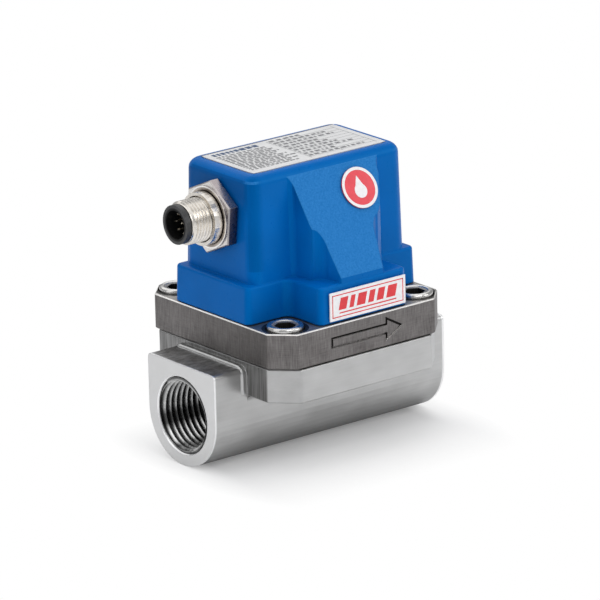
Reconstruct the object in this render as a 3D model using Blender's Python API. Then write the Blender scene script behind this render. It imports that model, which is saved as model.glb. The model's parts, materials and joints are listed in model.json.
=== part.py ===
"""Differential pressure flow meter with two threaded pipe ports and an electronic head.

Metres, +Z up. X runs along the pipe in the direction of flow, and the origin is on the
pipe axis, halfway between the two port faces.
"""

import math

import bmesh
import bpy
from mathutils import Matrix, Vector

# Clearance between pieces that touch
GAP = 0.0003

# Pipe body: a U section with a flange on top
PIPE_LENGTH = 0.0788
PIPE_WIDTH = 0.0286
PIPE_DROP = 0.0139
PIPE_TOP = 0.0143
PIPE_EDGE_R = 0.0012
PORT_D = 0.021
PORT_DEPTH = 0.0135
PORT_CHAMFER = 0.0004
INLET_BORE_D = 0.018
OUTLET_BORE_D = 0.014
FLANGE_X = 0.0574
FLANGE_Y = 0.0598
FLANGE_CORNER = 0.0066
FLANGE_R = 0.0010
FLANGE_BOTTOM = 0.0068
FLANGE_TOP = 0.0162
FLANGE_EDGE = 0.0003
PAD_OVERHANG = 0.0017
PAD_WIDTH = 0.0295
PAD_TOP = 0.0150
PAD_R = 0.0026
PAD_EDGE = 0.0004
COVE_R = 0.0018

# Orifice held in the bore
ORIFICE_THICK = 0.002
ORIFICE_HOLE_D = 0.008
ORIFICE_LIP = 0.0006
RETAINER_THICK = 0.002
RETAINER_HOLE_D = 0.0142

# Pressure taps from the bore to the two sides of the diaphragm
TAP_D = 0.0024
HIGH_TAP_X = -0.010
TAP_LAND = 0.0015
TAP_MARGIN = 0.0006
CHANNEL_WIDTH = 0.003
CHANNEL_DEPTH = 0.0015
CHANNEL_MARGIN = 0.0005

# Diaphragm and the plunger that it lifts
CHAMBER_D = 0.033
DIAPHRAGM_THICK = 0.001
DIAPHRAGM_RISE = 0.0012
DIAPHRAGM_CENTRE_D = 0.0236
CONVOLUTION_MARGIN = 0.0005
DISC_D = 0.022
DISC_THICK = 0.001
ROD_D = 0.003
ROD_HEAD_D = 0.007
ROD_HEAD_THICK = 0.0014
ROD_TOP = 0.0385
ROD_NUT_FLATS = 0.0055
ROD_NUT_THICK = 0.0022
TRAVEL = 0.0015
MAGNET_D = 0.0040
MAGNET_LENGTH = 0.006
HOLDER_D = 0.0058
HOLDER_BASE = 0.0016

# Range spring
SPRING_D = 0.0135
SPRING_WIRE = 0.0012
SPRING_TURNS = 4.5

# Cover plate with its hub
PLATE_X = 0.0584
PLATE_Y = 0.0600
PLATE_CORNER = 0.0058
PLATE_R = 0.0010
PLATE_THICK = 0.0097
PLATE_EDGE = 0.0003
CHAMBER_DEPTH = 0.0043
HUB_D = 0.024
HUB_HEIGHT = 0.008
SPRING_BORE_D = 0.017
HUB_ROOF = 0.003
ARROW_TAIL = -0.0121
ARROW_NECK = 0.0064
ARROW_TIP = 0.0124
ARROW_SHAFT = 0.0031
ARROW_HEAD = 0.0068
ARROW_LINE = 0.0006
ARROW_DEPTH = 0.0004

# Guide tube that keeps the liquid away from the electronics
TUBE_D = 0.008
TUBE_WALL = 0.0008
TUBE_FLANGE_D = 0.0158
TUBE_FLANGE_THICK = 0.0015
TUBE_ROOM = 0.002
TUBE_SEAL_R = 0.0006
TUBE_SEAL_D = 0.0115

# Cap screws
SCREW_X = 0.0221
SCREW_Y = 0.0232
SCREW_D = 0.006
SCREW_LENGTH = 0.012
SCREW_HEAD_D = 0.0099
SCREW_HEAD = 0.006
SCREW_HEAD_PROUD = 0.0012
SCREW_EDGE = 0.0006
SCREW_HEX = 0.005
SCREW_HEX_DEPTH = 0.003
COUNTERBORE_D = 0.0107

# Housing
HOUSING_TOP = 0.0659
SKIRT_X = 0.0570
SKIRT_Y = 0.0576
SKIRT_X_ARM = 0.0312
SKIRT_Y_ARM = 0.0294
SKIRT_TOP = 0.0366
SKIRT_EDGE = 0.0008
SKIRT_R = 0.0014
SKIRT_FILLET = 0.0028
SKIRT_DRAFT = 0.0003
BODY_X = 0.0518
BODY_Y = 0.0290
BODY_SHIFT = 0.0003
BODY_DRAFT_X = 0.014
BODY_DRAFT_Y = 0.022
BODY_R = 0.0034
ROOF_ROUND = 0.0028
HOUSING_WALL = 0.0023
SLAB_THICK = 0.0065
OPENING_D = 0.034
RAMP_SLOPE = 1.847
RAMP_TOP = 0.0637
RAMP_BACK = 0.0004
RAMP_BACK_INNER = 0.0025
RAMP_MERGE = 0.0004
RAMP_LEFT = 0.0115
RAMP_LEFT_TOP = 0.0122
RAMP_RIGHT = 0.0129
RAMP_RIGHT_TOP = 0.0158
RAMP_ROOT = 0.0025
RAMP_STEP_Y = 0.0216
RAMP_FILLET = 0.003
NOSE_HALF = 0.0082
NOSE_TAPER = 0.0010
HOUSING_SEAL_D = 0.0384
HOUSING_SEAL_R = 0.0009
HOUSING_SCREW_X = 0.0092
HOUSING_SCREW_Y = 0.0226
HOUSING_SCREW_D = 0.0025
HOUSING_SCREW_LENGTH = 0.012
HOUSING_SCREW_HEAD_D = 0.0045
HOUSING_SCREW_HEAD = 0.0025
HOUSING_SCREW_SLOT = 0.0007

# Plates and labels
NAME_PLATE_X = 0.0452
NAME_PLATE_Y = 0.0228
NAME_PLATE_R = 0.002
NAME_PLATE_THICK = 0.0006
NAME_PLATE_PROUD = 0.0001
LABEL_LENGTH = 0.0257
LABEL_HEIGHT = 0.0078
LABEL_CENTRE_X = 0.0008
LABEL_BOTTOM = 0.0271
LABEL_THICK = 0.0003
BADGE_D = 0.0114
BADGE_X = 0.0079
BADGE_Z = 0.0574
BADGE_THICK = 0.0003

# Round electrical connector
CONNECTOR_Z = 0.0530
CONNECTOR_REACH = 0.0141
CONNECTOR_D = 0.012
CONNECTOR_INSERT_D = 0.0107
CONNECTOR_BORE_D = 0.0100
CONNECTOR_CAVITY_D = 0.0079
CONNECTOR_CAVITY_DEPTH = 0.0062
INSERT_PROUD = 0.0014
INSERT_TAIL = 0.0015
INNER_FLANGE_D = 0.015
INNER_FLANGE_THICK = 0.0015
COLLAR_D = 0.0144
COLLAR_THICK = 0.0024
NUT_FLATS = 0.0178
NUT_THICK = 0.0028
NUT_FACE_D = 0.0170
NUT_FACE = 0.0004
NUT_EDGE = 0.0003
NUT_TURN = math.radians(6)
PIN_COUNT = 8
PIN_CIRCLE_D = 0.0055
PIN_D = 0.0008
PIN_LENGTH = 0.0040
PIN_TAIL = 0.0015

# Electronics
CARRIER_X = 0.0385
CARRIER_Y = 0.0220
CARRIER_THICK = 0.0015
CARRIER_R = 0.003
CARRIER_SCREW_X = 0.0085
CARRIER_SCREW_D = 0.002
CARRIER_SCREW_HEAD_D = 0.0038
CARRIER_SCREW_HEAD = 0.0014
CARRIER_SCREW_LENGTH = 0.0022
RAIL_WIDTH = 0.0028
RAIL_DEPTH = 0.0052
RAIL_HEIGHT = 0.022
GROOVE_DEPTH = 0.0013
BOARD_X = 0.032
BOARD_Z = 0.0235
BOARD_THICK = 0.0016
BOARD_Y = 0.0072
SENSOR_WIDTH = 0.005
SENSOR_THICK = 0.0014
SENSOR_HEIGHT = 0.004
PROCESSOR_SIDE = 0.009
PROCESSOR_THICK = 0.0012
PROCESSOR_X = 0.006
HEADER_WIDTH = 0.006
HEADER_THICK = 0.003
HEADER_HEIGHT = 0.010
HEADER_X = -0.0105
CAPACITOR_D = 0.0046
CAPACITOR_LENGTH = 0.0045
CAPACITOR_X = 0.0105

# Facets around round forms
FINE = 64
MEDIUM = 40
COARSE = 20
SMALL = 12
SCREW_FACETS = 32

# Places that follow from the sizes above
PORT_FACE = PIPE_LENGTH / 2
LOW_TAP_X = CHAMBER_D / 2 + TAP_LAND + TAP_D / 2
DIAPHRAGM_D = 2 * (LOW_TAP_X + TAP_D / 2 + TAP_MARGIN)
PLATE_BOTTOM = FLANGE_TOP + GAP
PLATE_TOP = PLATE_BOTTOM + PLATE_THICK
HUB_TOP = PLATE_TOP + HUB_HEIGHT
SPRING_BORE_TOP = HUB_TOP - HUB_ROOF
DIAPHRAGM_BOTTOM = FLANGE_TOP - DIAPHRAGM_THICK
DISC_LOW = DIAPHRAGM_BOTTOM + DIAPHRAGM_RISE - GAP - DISC_THICK
DISC_HIGH = DIAPHRAGM_BOTTOM + DIAPHRAGM_RISE + DIAPHRAGM_THICK + GAP
ROD_HEAD_BOTTOM = DISC_LOW - GAP - ROD_HEAD_THICK
CHAMBER_FLOOR = ROD_HEAD_BOTTOM - GAP
ROD_NUT_BOTTOM = DISC_HIGH + DISC_THICK + GAP
TUBE_FLANGE_BOTTOM = SPRING_BORE_TOP - GAP - TUBE_FLANGE_THICK
HOLDER_BOTTOM = ROD_TOP - HOLDER_BASE
MAGNET_BOTTOM = ROD_TOP + GAP + HOLDER_BASE / 2
MAGNET_TOP = MAGNET_BOTTOM + MAGNET_LENGTH
TUBE_TOP = MAGNET_TOP + TRAVEL + TUBE_ROOM + TUBE_WALL
HOUSING_BOTTOM = PLATE_TOP + GAP
SHOULDER = HOUSING_TOP - ROOF_ROUND
SLAB_TOP = HOUSING_BOTTOM + SLAB_THICK
CLEAR = 0.002
STEEL = (0.62, 0.61, 0.59)


def material(name, colour, roughness, metallic):
    made = bpy.data.materials.new(name)
    made.use_nodes = True
    shader = made.node_tree.nodes["Principled BSDF"]
    shader.inputs["Base Color"].default_value = (*colour, 1.0)
    shader.inputs["Roughness"].default_value = roughness
    shader.inputs["Metallic"].default_value = metallic
    made.diffuse_color = (*colour, 1.0)
    return made


def finish(name, bm, look, cutter=False, angle=35):
    """Write a bmesh to a named object with one material."""
    bmesh.ops.remove_doubles(bm, verts=bm.verts, dist=1e-7)
    bmesh.ops.recalc_face_normals(bm, faces=bm.faces)
    mesh = bpy.data.meshes.new(name)
    bm.to_mesh(mesh)
    bm.free()
    mesh.shade_smooth()
    mesh.set_sharp_from_angle(angle=math.radians(angle))
    if look:
        mesh.materials.append(look)
    made = bpy.data.objects.new(name, mesh)
    bpy.context.scene.collection.objects.link(made)
    if cutter:
        made.hide_render = True
        made.display_type = "WIRE"
    return made


def loft(rings, tube=False):
    """Skin rings of equal length; the ends are capped unless the loft closes on itself."""
    bm = bmesh.new()
    levels = [[bm.verts.new(point) for point in ring] for ring in rings]
    count = len(levels[0])
    pairs = list(zip(levels, levels[1:]))
    if tube:
        pairs.append((levels[-1], levels[0]))
    for low, high in pairs:
        for i in range(count):
            j = (i + 1) % count
            bm.faces.new((low[i], low[j], high[j], high[i]))
    if not tube:
        bm.faces.new(list(reversed(levels[0])))
        bm.faces.new(levels[-1])
    return bm


def arc(cx, cy, radius, start, end, steps):
    """Points on an arc, with both ends."""
    points = []
    for i in range(steps + 1):
        turn = start + (end - start) * i / steps
        points.append((cx + radius * math.cos(turn), cy + radius * math.sin(turn)))
    return points


def rounded_rectangle(length, width, radius, steps=8):
    """Outline round the origin, anticlockwise."""
    across = length / 2 - radius
    along = width / 2 - radius
    outline = []
    for sx, sy, start in ((1, 1, 0), (-1, 1, 1), (-1, -1, 2), (1, -1, 3)):
        begin = start * math.pi / 2
        outline += arc(sx * across, sy * along, radius, begin, begin + math.pi / 2, steps)
    return outline


def chamfered_rectangle(length, width, corner, radius, steps=3):
    """Outline with its corners cut off at 45 degrees and the new edges rounded."""
    reach = radius * math.tan(math.pi / 8)
    outline = []
    for quarter in range(4):
        far, side = (length / 2, width / 2) if quarter % 2 == 0 else (width / 2, length / 2)
        points = arc(far - radius, side - corner - reach, radius, 0, math.pi / 4, steps)
        points += arc(far - corner - reach, side - radius, radius, math.pi / 4, math.pi / 2,
                      steps)
        turn = Matrix.Rotation(quarter * math.pi / 2, 2)
        outline += [tuple(turn @ Vector(point)) for point in points]
    return outline


def slab(length, width, radius, bottom, top, edge_low=0.0, edge_high=0.0, corner=0.0):
    """Rectangle with rounded or cut corners along Z, with optional small chamfers at its rims."""
    levels = [(bottom, edge_low), (top, edge_high)]
    if edge_low:
        levels.insert(1, (bottom + edge_low, 0.0))
    if edge_high:
        levels.insert(-1, (top - edge_high, 0.0))
    rings = []
    for height, inset in levels:
        size = (length - 2 * inset, width - 2 * inset)
        if corner:
            cut_back = corner - inset * (2 - math.sqrt(2))
            outline = chamfered_rectangle(*size, cut_back, radius - inset)
        else:
            outline = rounded_rectangle(*size, radius - inset)
        rings.append([(x, y, height) for x, y in outline])
    return loft(rings)


def prism(outline, bottom, top):
    """Flat outline extruded along Z."""
    return loft([[(x, y, z) for x, y in outline] for z in (bottom, top)])


def turned(profile, segments, closed=True):
    """Revolve (radius, height) points round Z; a point at radius 0 closes the end flat."""
    bm = bmesh.new()
    rows = []
    for radius, height in profile:
        row = []
        for i in range(segments if radius else 0):
            turn = 2 * math.pi * i / segments
            row.append(bm.verts.new((radius * math.cos(turn), radius * math.sin(turn), height)))
        rows.append(row)
    pairs = list(zip(rows, rows[1:]))
    if closed:
        pairs.append((rows[-1], rows[0]))
    for low, high in pairs:
        if low and high:
            for i in range(segments):
                j = (i + 1) % segments
                bm.faces.new((low[i], low[j], high[j], high[i]))
        elif high:
            bm.faces.new(high[::-1])
        elif low:
            bm.faces.new(low)
    return bm


def cylinder(diameter, bottom, top, segments=MEDIUM):
    radius = diameter / 2
    return turned([(0, bottom), (radius, bottom), (radius, top), (0, top)], segments, False)


def tube(outer_d, inner_d, bottom, top, segments=MEDIUM):
    outer, inner = outer_d / 2, inner_d / 2
    return turned([(inner, bottom), (outer, bottom), (outer, top), (inner, top)], segments)


def torus(ring_d, radius, height, segments=MEDIUM, sides=10):
    profile = []
    for i in range(sides):
        turn = 2 * math.pi * i / sides
        profile.append((ring_d / 2 + radius * math.cos(turn), height + radius * math.sin(turn)))
    return turned(profile, segments)


def hexagon(flats, turn=0.0):
    radius = flats / math.sqrt(3)
    return [
        (radius * math.cos(turn + i * math.pi / 3), radius * math.sin(turn + i * math.pi / 3))
        for i in range(6)
    ]


def block(size, centre):
    bm = bmesh.new()
    bmesh.ops.create_cube(bm, size=1.0)
    bmesh.ops.scale(bm, vec=size, verts=bm.verts)
    bmesh.ops.translate(bm, vec=centre, verts=bm.verts)
    return bm


def moved(bm, x=0.0, y=0.0, z=0.0):
    bmesh.ops.translate(bm, vec=(x, y, z), verts=bm.verts)
    return bm


def along_x(bm):
    """Turn a form made round Z so that its axis lies along X."""
    bmesh.ops.rotate(bm, cent=(0, 0, 0), matrix=Matrix.Rotation(math.pi / 2, 3, "Y"),
                     verts=bm.verts)
    return bm


def combine(target, bm, operation, label):
    """Add a Boolean with a hidden operand to the target."""
    operand = finish(f"{target.name}.{label}", bm, None, cutter=True)
    operand.parent = target
    change = target.modifiers.new(label, "BOOLEAN")
    change.operation = operation
    change.solver = "EXACT"
    change.object = operand


def cut(target, bm, label):
    combine(target, bm, "DIFFERENCE", label)


def join(target, bm, label):
    combine(target, bm, "UNION", label)


def corners():
    """Signs of the four corners, in order round the plate."""
    return ((-1, -1), (1, -1), (1, 1), (-1, 1))


def u_section(end_steps=28):
    """Flat top with rounded edges, straight sides and a round bottom, seen along X."""
    half = PIPE_WIDTH / 2
    outline = [(half * y, PIPE_DROP * z)
               for y, z in arc(0, 0, 1, math.pi, 2 * math.pi, end_steps)]
    across, up = half - PIPE_EDGE_R, PIPE_TOP - PIPE_EDGE_R
    outline += arc(across, up, PIPE_EDGE_R, 0, math.pi / 2, 4)
    return outline + arc(-across, up, PIPE_EDGE_R, math.pi / 2, math.pi, 4)


def pad():
    """Block that stands out of both ends of the flange, arched over the pipe."""
    reach = FLANGE_X / 2 + PAD_OVERHANG
    rings = []
    for x, inset in ((-reach, PAD_EDGE), (PAD_EDGE - reach, 0.0), (reach - PAD_EDGE, 0.0),
                     (reach, PAD_EDGE)):
        half, top, radius = PAD_WIDTH / 2 - inset, PAD_TOP - inset, PAD_R - inset
        low = FLANGE_BOTTOM + GAP
        outline = [(-half, low), (half, low)]
        outline += arc(half - radius, top - radius, radius, 0, math.pi / 2, 6)
        outline += arc(radius - half, top - radius, radius, math.pi / 2, math.pi, 6)
        rings.append([(x, y, z) for y, z in outline])
    return loft(rings)


def cove(side):
    """Bar with a hollow face that blends the flange underside into the pipe."""
    half = PIPE_WIDTH / 2
    inner = half - COVE_R / 2
    corner = (half + COVE_R, FLANGE_BOTTOM - COVE_R)
    points = [(inner, FLANGE_BOTTOM - COVE_R), (inner, FLANGE_BOTTOM + COVE_R / 2),
              (half + COVE_R, FLANGE_BOTTOM + COVE_R / 2)]
    points += arc(*corner, COVE_R, math.pi / 2, math.pi, 6)
    reach = FLANGE_X / 2 - GAP
    return loft([[(x, side * y, z) for y, z in points] for x in (-reach, reach)])


def flow_way():
    """Ports and bores as one profile of (radius, place along the pipe)."""
    deep = PORT_FACE - PORT_DEPTH
    wide = PORT_D / 2 + PORT_CHAMFER
    profile = []
    for side, bore_d in ((-1, INLET_BORE_D), (1, OUTLET_BORE_D)):
        half = [(0, PORT_FACE + CLEAR), (wide, PORT_FACE + CLEAR), (wide, PORT_FACE),
                (PORT_D / 2, PORT_FACE - PORT_CHAMFER), (PORT_D / 2, deep),
                (bore_d / 2, deep - (PORT_D - bore_d) / 2), (bore_d / 2, 0)]
        points = [(radius, side * place) for radius, place in half]
        profile += points if side < 0 else points[::-1]
    return profile


def pipe_body(look):
    rings = [[(x, y, z) for y, z in u_section()] for x in (-PORT_FACE, PORT_FACE)]
    body = finish("pipe_body", loft(rings), look)
    join(body, slab(FLANGE_X, FLANGE_Y, FLANGE_R, FLANGE_BOTTOM, FLANGE_TOP, FLANGE_EDGE,
                    FLANGE_EDGE, FLANGE_CORNER), "flange")
    join(body, pad(), "pad")
    for side, label in ((-1, "cove_front"), (1, "cove_back")):
        join(body, cove(side), label)
    cut(body, along_x(turned(flow_way(), FINE, False)), "flow_way")
    chamber, seat = CHAMBER_D / 2, DIAPHRAGM_D / 2 + GAP
    seat_floor = DIAPHRAGM_BOTTOM - GAP
    profile = [(0, CHAMBER_FLOOR), (chamber, CHAMBER_FLOOR), (chamber, seat_floor),
               (seat, seat_floor), (seat, FLANGE_TOP + CLEAR), (0, FLANGE_TOP + CLEAR)]
    cut(body, turned(profile, FINE, False), "lower_chamber")
    cut(body, moved(cylinder(TAP_D, 0, CHAMBER_FLOOR + CLEAR, COARSE), HIGH_TAP_X), "high_tap")
    cut(body, moved(cylinder(TAP_D, 0, seat_floor + CLEAR, COARSE), LOW_TAP_X), "low_tap")
    hole_d = SCREW_D + 2 * GAP
    for i, (sx, sy) in enumerate(corners(), 1):
        hole = cylinder(hole_d, FLANGE_BOTTOM - CLEAR, FLANGE_TOP + CLEAR, COARSE)
        cut(body, moved(hole, sx * SCREW_X, sy * SCREW_Y), f"screw_hole_{i}")
    return body


def orifice_plate(look):
    """Disc with a sharp edged hole that opens out downstream, along X."""
    outer = INLET_BORE_D / 2 - GAP
    hole = ORIFICE_HOLE_D / 2
    back = -GAP
    front = back - ORIFICE_THICK
    flare = hole + ORIFICE_THICK - ORIFICE_LIP
    profile = [(hole, front), (outer, front), (outer, back), (flare, back),
               (hole, front + ORIFICE_LIP)]
    return finish("orifice_plate", along_x(turned(profile, MEDIUM)), look)


def orifice_retainer(look):
    back = -2 * GAP - ORIFICE_THICK
    ring = tube(INLET_BORE_D - 2 * GAP, RETAINER_HOLE_D, back - RETAINER_THICK, back)
    return finish("orifice_retainer", along_x(ring), look)


def arrow_outline(inset):
    """Arrow that points along +X, as (x, z) points round its middle height."""
    slope = ARROW_HEAD / 2 / (ARROW_TIP - ARROW_NECK)
    tail = ARROW_TAIL + inset
    tip = ARROW_TIP - inset * math.hypot(1, 1 / slope)
    neck = ARROW_NECK + inset
    shaft = ARROW_SHAFT / 2 - inset
    head = (tip - neck) * slope
    return [(tail, -shaft), (neck, -shaft), (neck, -head), (tip, 0), (neck, head),
            (neck, shaft), (tail, shaft)]


def arrow_groove():
    """Closed band between two arrow outlines, set into the front edge of the plate."""
    outer = arrow_outline(0.0)
    inner = arrow_outline(ARROW_LINE)
    middle = PLATE_BOTTOM + PLATE_THICK / 2
    deep = -PLATE_Y / 2 + ARROW_DEPTH
    out = -PLATE_Y / 2 - CLEAR
    rings = []
    for outline, y in ((outer, deep), (outer, out), (inner, out), (inner, deep)):
        rings.append([(x, y, middle + z) for x, z in outline])
    return loft(rings, tube=True)


def cover_plate(look):
    plate = finish("cover_plate", slab(PLATE_X, PLATE_Y, PLATE_R, PLATE_BOTTOM, PLATE_TOP,
                                       PLATE_EDGE, PLATE_EDGE, PLATE_CORNER), look)
    join(plate, cylinder(HUB_D, PLATE_TOP - CLEAR, HUB_TOP, FINE), "hub")
    top = PLATE_BOTTOM + CHAMBER_DEPTH
    chamber, bore, tube_hole = CHAMBER_D / 2, SPRING_BORE_D / 2, TUBE_D / 2 + GAP
    reach = TUBE_SEAL_R + GAP
    groove_in, groove_out = TUBE_SEAL_D / 2 - reach, TUBE_SEAL_D / 2 + reach
    groove_top = SPRING_BORE_TOP + 2 * TUBE_SEAL_R
    profile = [(0, PLATE_BOTTOM - CLEAR), (chamber, PLATE_BOTTOM - CLEAR), (chamber, top),
               (bore, top), (bore, SPRING_BORE_TOP), (groove_out, SPRING_BORE_TOP),
               (groove_out, groove_top), (groove_in, groove_top),
               (groove_in, SPRING_BORE_TOP), (tube_hole, SPRING_BORE_TOP),
               (tube_hole, HUB_TOP + CLEAR), (0, HUB_TOP + CLEAR)]
    cut(plate, turned(profile, FINE, False), "chamber")
    start = CHAMBER_D / 2 - CLEAR
    end = LOW_TAP_X + TAP_D / 2 + CHANNEL_MARGIN
    channel = block((end - start, CHANNEL_WIDTH, CHANNEL_DEPTH + CLEAR),
                    ((start + end) / 2, 0, PLATE_BOTTOM + (CHANNEL_DEPTH - CLEAR) / 2))
    cut(plate, channel, "low_channel")
    seat = PLATE_TOP + SCREW_HEAD_PROUD - SCREW_HEAD - GAP
    for i, (sx, sy) in enumerate(corners(), 1):
        shank = SCREW_D / 2 + GAP
        bore = COUNTERBORE_D / 2
        profile = [(0, PLATE_BOTTOM - CLEAR), (shank, PLATE_BOTTOM - CLEAR), (shank, seat),
                   (bore, seat), (bore, PLATE_TOP + CLEAR), (0, PLATE_TOP + CLEAR)]
        hole = turned(profile, MEDIUM, False)
        cut(plate, moved(hole, sx * SCREW_X, sy * SCREW_Y), f"screw_hole_{i}")
        shank = HOUSING_SCREW_D / 2 + GAP
        bore = HOUSING_SCREW_HEAD_D / 2 + GAP
        seat_low = PLATE_BOTTOM + HOUSING_SCREW_HEAD + 2 * GAP
        profile = [(0, PLATE_BOTTOM - CLEAR), (bore, PLATE_BOTTOM - CLEAR), (bore, seat_low),
                   (shank, seat_low), (shank, PLATE_TOP + CLEAR), (0, PLATE_TOP + CLEAR)]
        hole = turned(profile, COARSE, False)
        cut(plate, moved(hole, sx * HOUSING_SCREW_X, sy * HOUSING_SCREW_Y), f"fixing_hole_{i}")
    for sx in (-1, 1):
        hole = cylinder(CARRIER_SCREW_D + 2 * GAP, HUB_TOP - CARRIER_SCREW_LENGTH,
                        HUB_TOP + CLEAR, COARSE)
        cut(plate, moved(hole, sx * CARRIER_SCREW_X), f"carrier_hole_{sx + 2}")
    cut(plate, arrow_groove(), "flow_arrow")
    return plate


def cap_screws(look):
    """Socket head cap screws, heads up, let into the corners of the plate."""
    top = PLATE_TOP + SCREW_HEAD_PROUD
    under = top - SCREW_HEAD
    tip = under - SCREW_LENGTH
    head, shank = SCREW_HEAD_D / 2, SCREW_D / 2
    edge = SCREW_EDGE
    profile = [(0, tip), (shank - edge, tip), (shank, tip + edge), (shank, under),
               (head, under), (head, top - edge), (head - edge, top), (0, top)]
    for i, (sx, sy) in enumerate(corners(), 1):
        made = finish(f"cap_screw_{i}", moved(turned(profile, SCREW_FACETS, False), sx * SCREW_X,
                                              sy * SCREW_Y), look)
        socket = prism(hexagon(SCREW_HEX, math.pi / 6), top - SCREW_HEX_DEPTH, top + CLEAR)
        cut(made, moved(socket, sx * SCREW_X, sy * SCREW_Y), "socket")


def housing_screws(look):
    """Slotted screws that hold the housing from below, sunk into the plate."""
    bottom = PLATE_BOTTOM + GAP
    seat = bottom + HOUSING_SCREW_HEAD
    tip = seat + HOUSING_SCREW_LENGTH
    head, shank = HOUSING_SCREW_HEAD_D / 2, HOUSING_SCREW_D / 2
    profile = [(0, bottom), (head, bottom), (head, seat), (shank, seat), (shank, tip), (0, tip)]
    for i, (sx, sy) in enumerate(corners(), 1):
        x, y = sx * HOUSING_SCREW_X, sy * HOUSING_SCREW_Y
        made = finish(f"housing_screw_{i}", moved(turned(profile, COARSE, False), x, y), look)
        slot = block((HOUSING_SCREW_HEAD_D + CLEAR, HOUSING_SCREW_SLOT, HOUSING_SCREW_HEAD),
                     (x, y, bottom))
        cut(made, slot, "slot")


def diaphragm(look):
    """Rubber disc: a clamped rim, one convolution and a raised flat centre."""
    rim_in = CHAMBER_D / 2 - CONVOLUTION_MARGIN
    centre = DIAPHRAGM_CENTRE_D / 2
    hole = ROD_D / 2 + GAP
    outer = DIAPHRAGM_D / 2
    steps = 8
    lower = [(hole, DIAPHRAGM_RISE)]
    for i in range(steps + 1):
        share = i / steps
        radius = centre + (rim_in - centre) * share
        lower.append((radius, DIAPHRAGM_RISE * (1 + math.cos(math.pi * share)) / 2))
    lower.append((outer, 0.0))
    profile = [(r, DIAPHRAGM_BOTTOM + z) for r, z in lower]
    profile += [(r, DIAPHRAGM_BOTTOM + z + DIAPHRAGM_THICK) for r, z in reversed(lower)]
    made = finish("diaphragm", turned(profile, MEDIUM), look)
    tap = cylinder(TAP_D, DIAPHRAGM_BOTTOM - CLEAR, FLANGE_TOP + CLEAR, SMALL)
    cut(made, moved(tap, LOW_TAP_X), "tap_hole")
    return made


def plunger(steel, brass, magnet, plastic):
    """Discs, rod and magnet that the diaphragm lifts."""
    hole_d = ROD_D + 2 * GAP
    for name, bottom in (("diaphragm_disc_lower", DISC_LOW), ("diaphragm_disc_upper", DISC_HIGH)):
        finish(name, tube(DISC_D, hole_d, bottom, bottom + DISC_THICK), steel)
    head, shank = ROD_HEAD_D / 2, ROD_D / 2
    seat = ROD_HEAD_BOTTOM + ROD_HEAD_THICK
    profile = [(0, ROD_HEAD_BOTTOM), (head, ROD_HEAD_BOTTOM), (head, seat), (shank, seat),
               (shank, ROD_TOP), (0, ROD_TOP)]
    finish("push_rod", turned(profile, COARSE, False), steel)
    nut = finish("rod_nut", prism(hexagon(ROD_NUT_FLATS), ROD_NUT_BOTTOM,
                                  ROD_NUT_BOTTOM + ROD_NUT_THICK), brass)
    cut(nut, cylinder(hole_d, ROD_NUT_BOTTOM - CLEAR, ROD_NUT_BOTTOM + ROD_NUT_THICK + CLEAR,
                      COARSE), "thread_hole")
    outer, pocket = HOLDER_D / 2, MAGNET_D / 2 + GAP
    socket = ROD_D / 2 + GAP
    step = ROD_TOP + GAP
    floor = MAGNET_BOTTOM - GAP
    rim = MAGNET_TOP - GAP
    profile = [(0, step), (socket, step), (socket, HOLDER_BOTTOM - HOLDER_BASE),
               (outer, HOLDER_BOTTOM - HOLDER_BASE), (outer, rim), (pocket, rim),
               (pocket, floor), (0, floor)]
    finish("magnet_holder", turned(profile, COARSE, False), plastic)
    finish("sensor_magnet", cylinder(MAGNET_D, MAGNET_BOTTOM, MAGNET_TOP, COARSE), magnet)


def range_spring(look):
    """Coil spring between the upper disc and the guide tube, with closed flat ends."""
    low = ROD_NUT_BOTTOM + SPRING_WIRE / 2
    high = TUBE_FLANGE_BOTTOM - GAP - SPRING_WIRE / 2
    radius = (SPRING_D - SPRING_WIRE) / 2
    per_turn, sides = 22, 8
    count = int(round(SPRING_TURNS * per_turn))
    rings = []
    for i in range(count + 1):
        share = i / count
        turn = 2 * math.pi * SPRING_TURNS * share
        centre = Vector((radius * math.cos(turn), radius * math.sin(turn),
                         low + (high - low) * share))
        outward = Vector((math.cos(turn), math.sin(turn), 0))
        ring = []
        for k in range(sides):
            angle = 2 * math.pi * k / sides
            ring.append(centre + (outward * math.cos(angle) + Vector((0, 0, math.sin(angle))))
                        * SPRING_WIRE / 2)
        rings.append(ring)
    finish("range_spring", loft(rings), look)


def guide_tube(steel, rubber):
    """Closed tube with a flange that the spring presses against the hub."""
    outer = TUBE_D / 2
    inner = outer - TUBE_WALL
    flange = TUBE_FLANGE_D / 2
    seat = TUBE_FLANGE_BOTTOM + TUBE_FLANGE_THICK
    profile = [(inner, TUBE_FLANGE_BOTTOM), (flange, TUBE_FLANGE_BOTTOM), (flange, seat),
               (outer, seat), (outer, TUBE_TOP), (0, TUBE_TOP), (0, TUBE_TOP - TUBE_WALL),
               (inner, TUBE_TOP - TUBE_WALL)]
    bm = turned(profile, MEDIUM)
    finish("guide_tube", bm, steel)
    ring = torus(TUBE_SEAL_D, TUBE_SEAL_R, seat + GAP + TUBE_SEAL_R, MEDIUM, 8)
    finish("guide_tube_seal", ring, rubber)


def ramp_height(y):
    """Height of the sloping front face at a place across the housing."""
    return RAMP_TOP + RAMP_SLOPE * (y + BODY_Y / 2)


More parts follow.
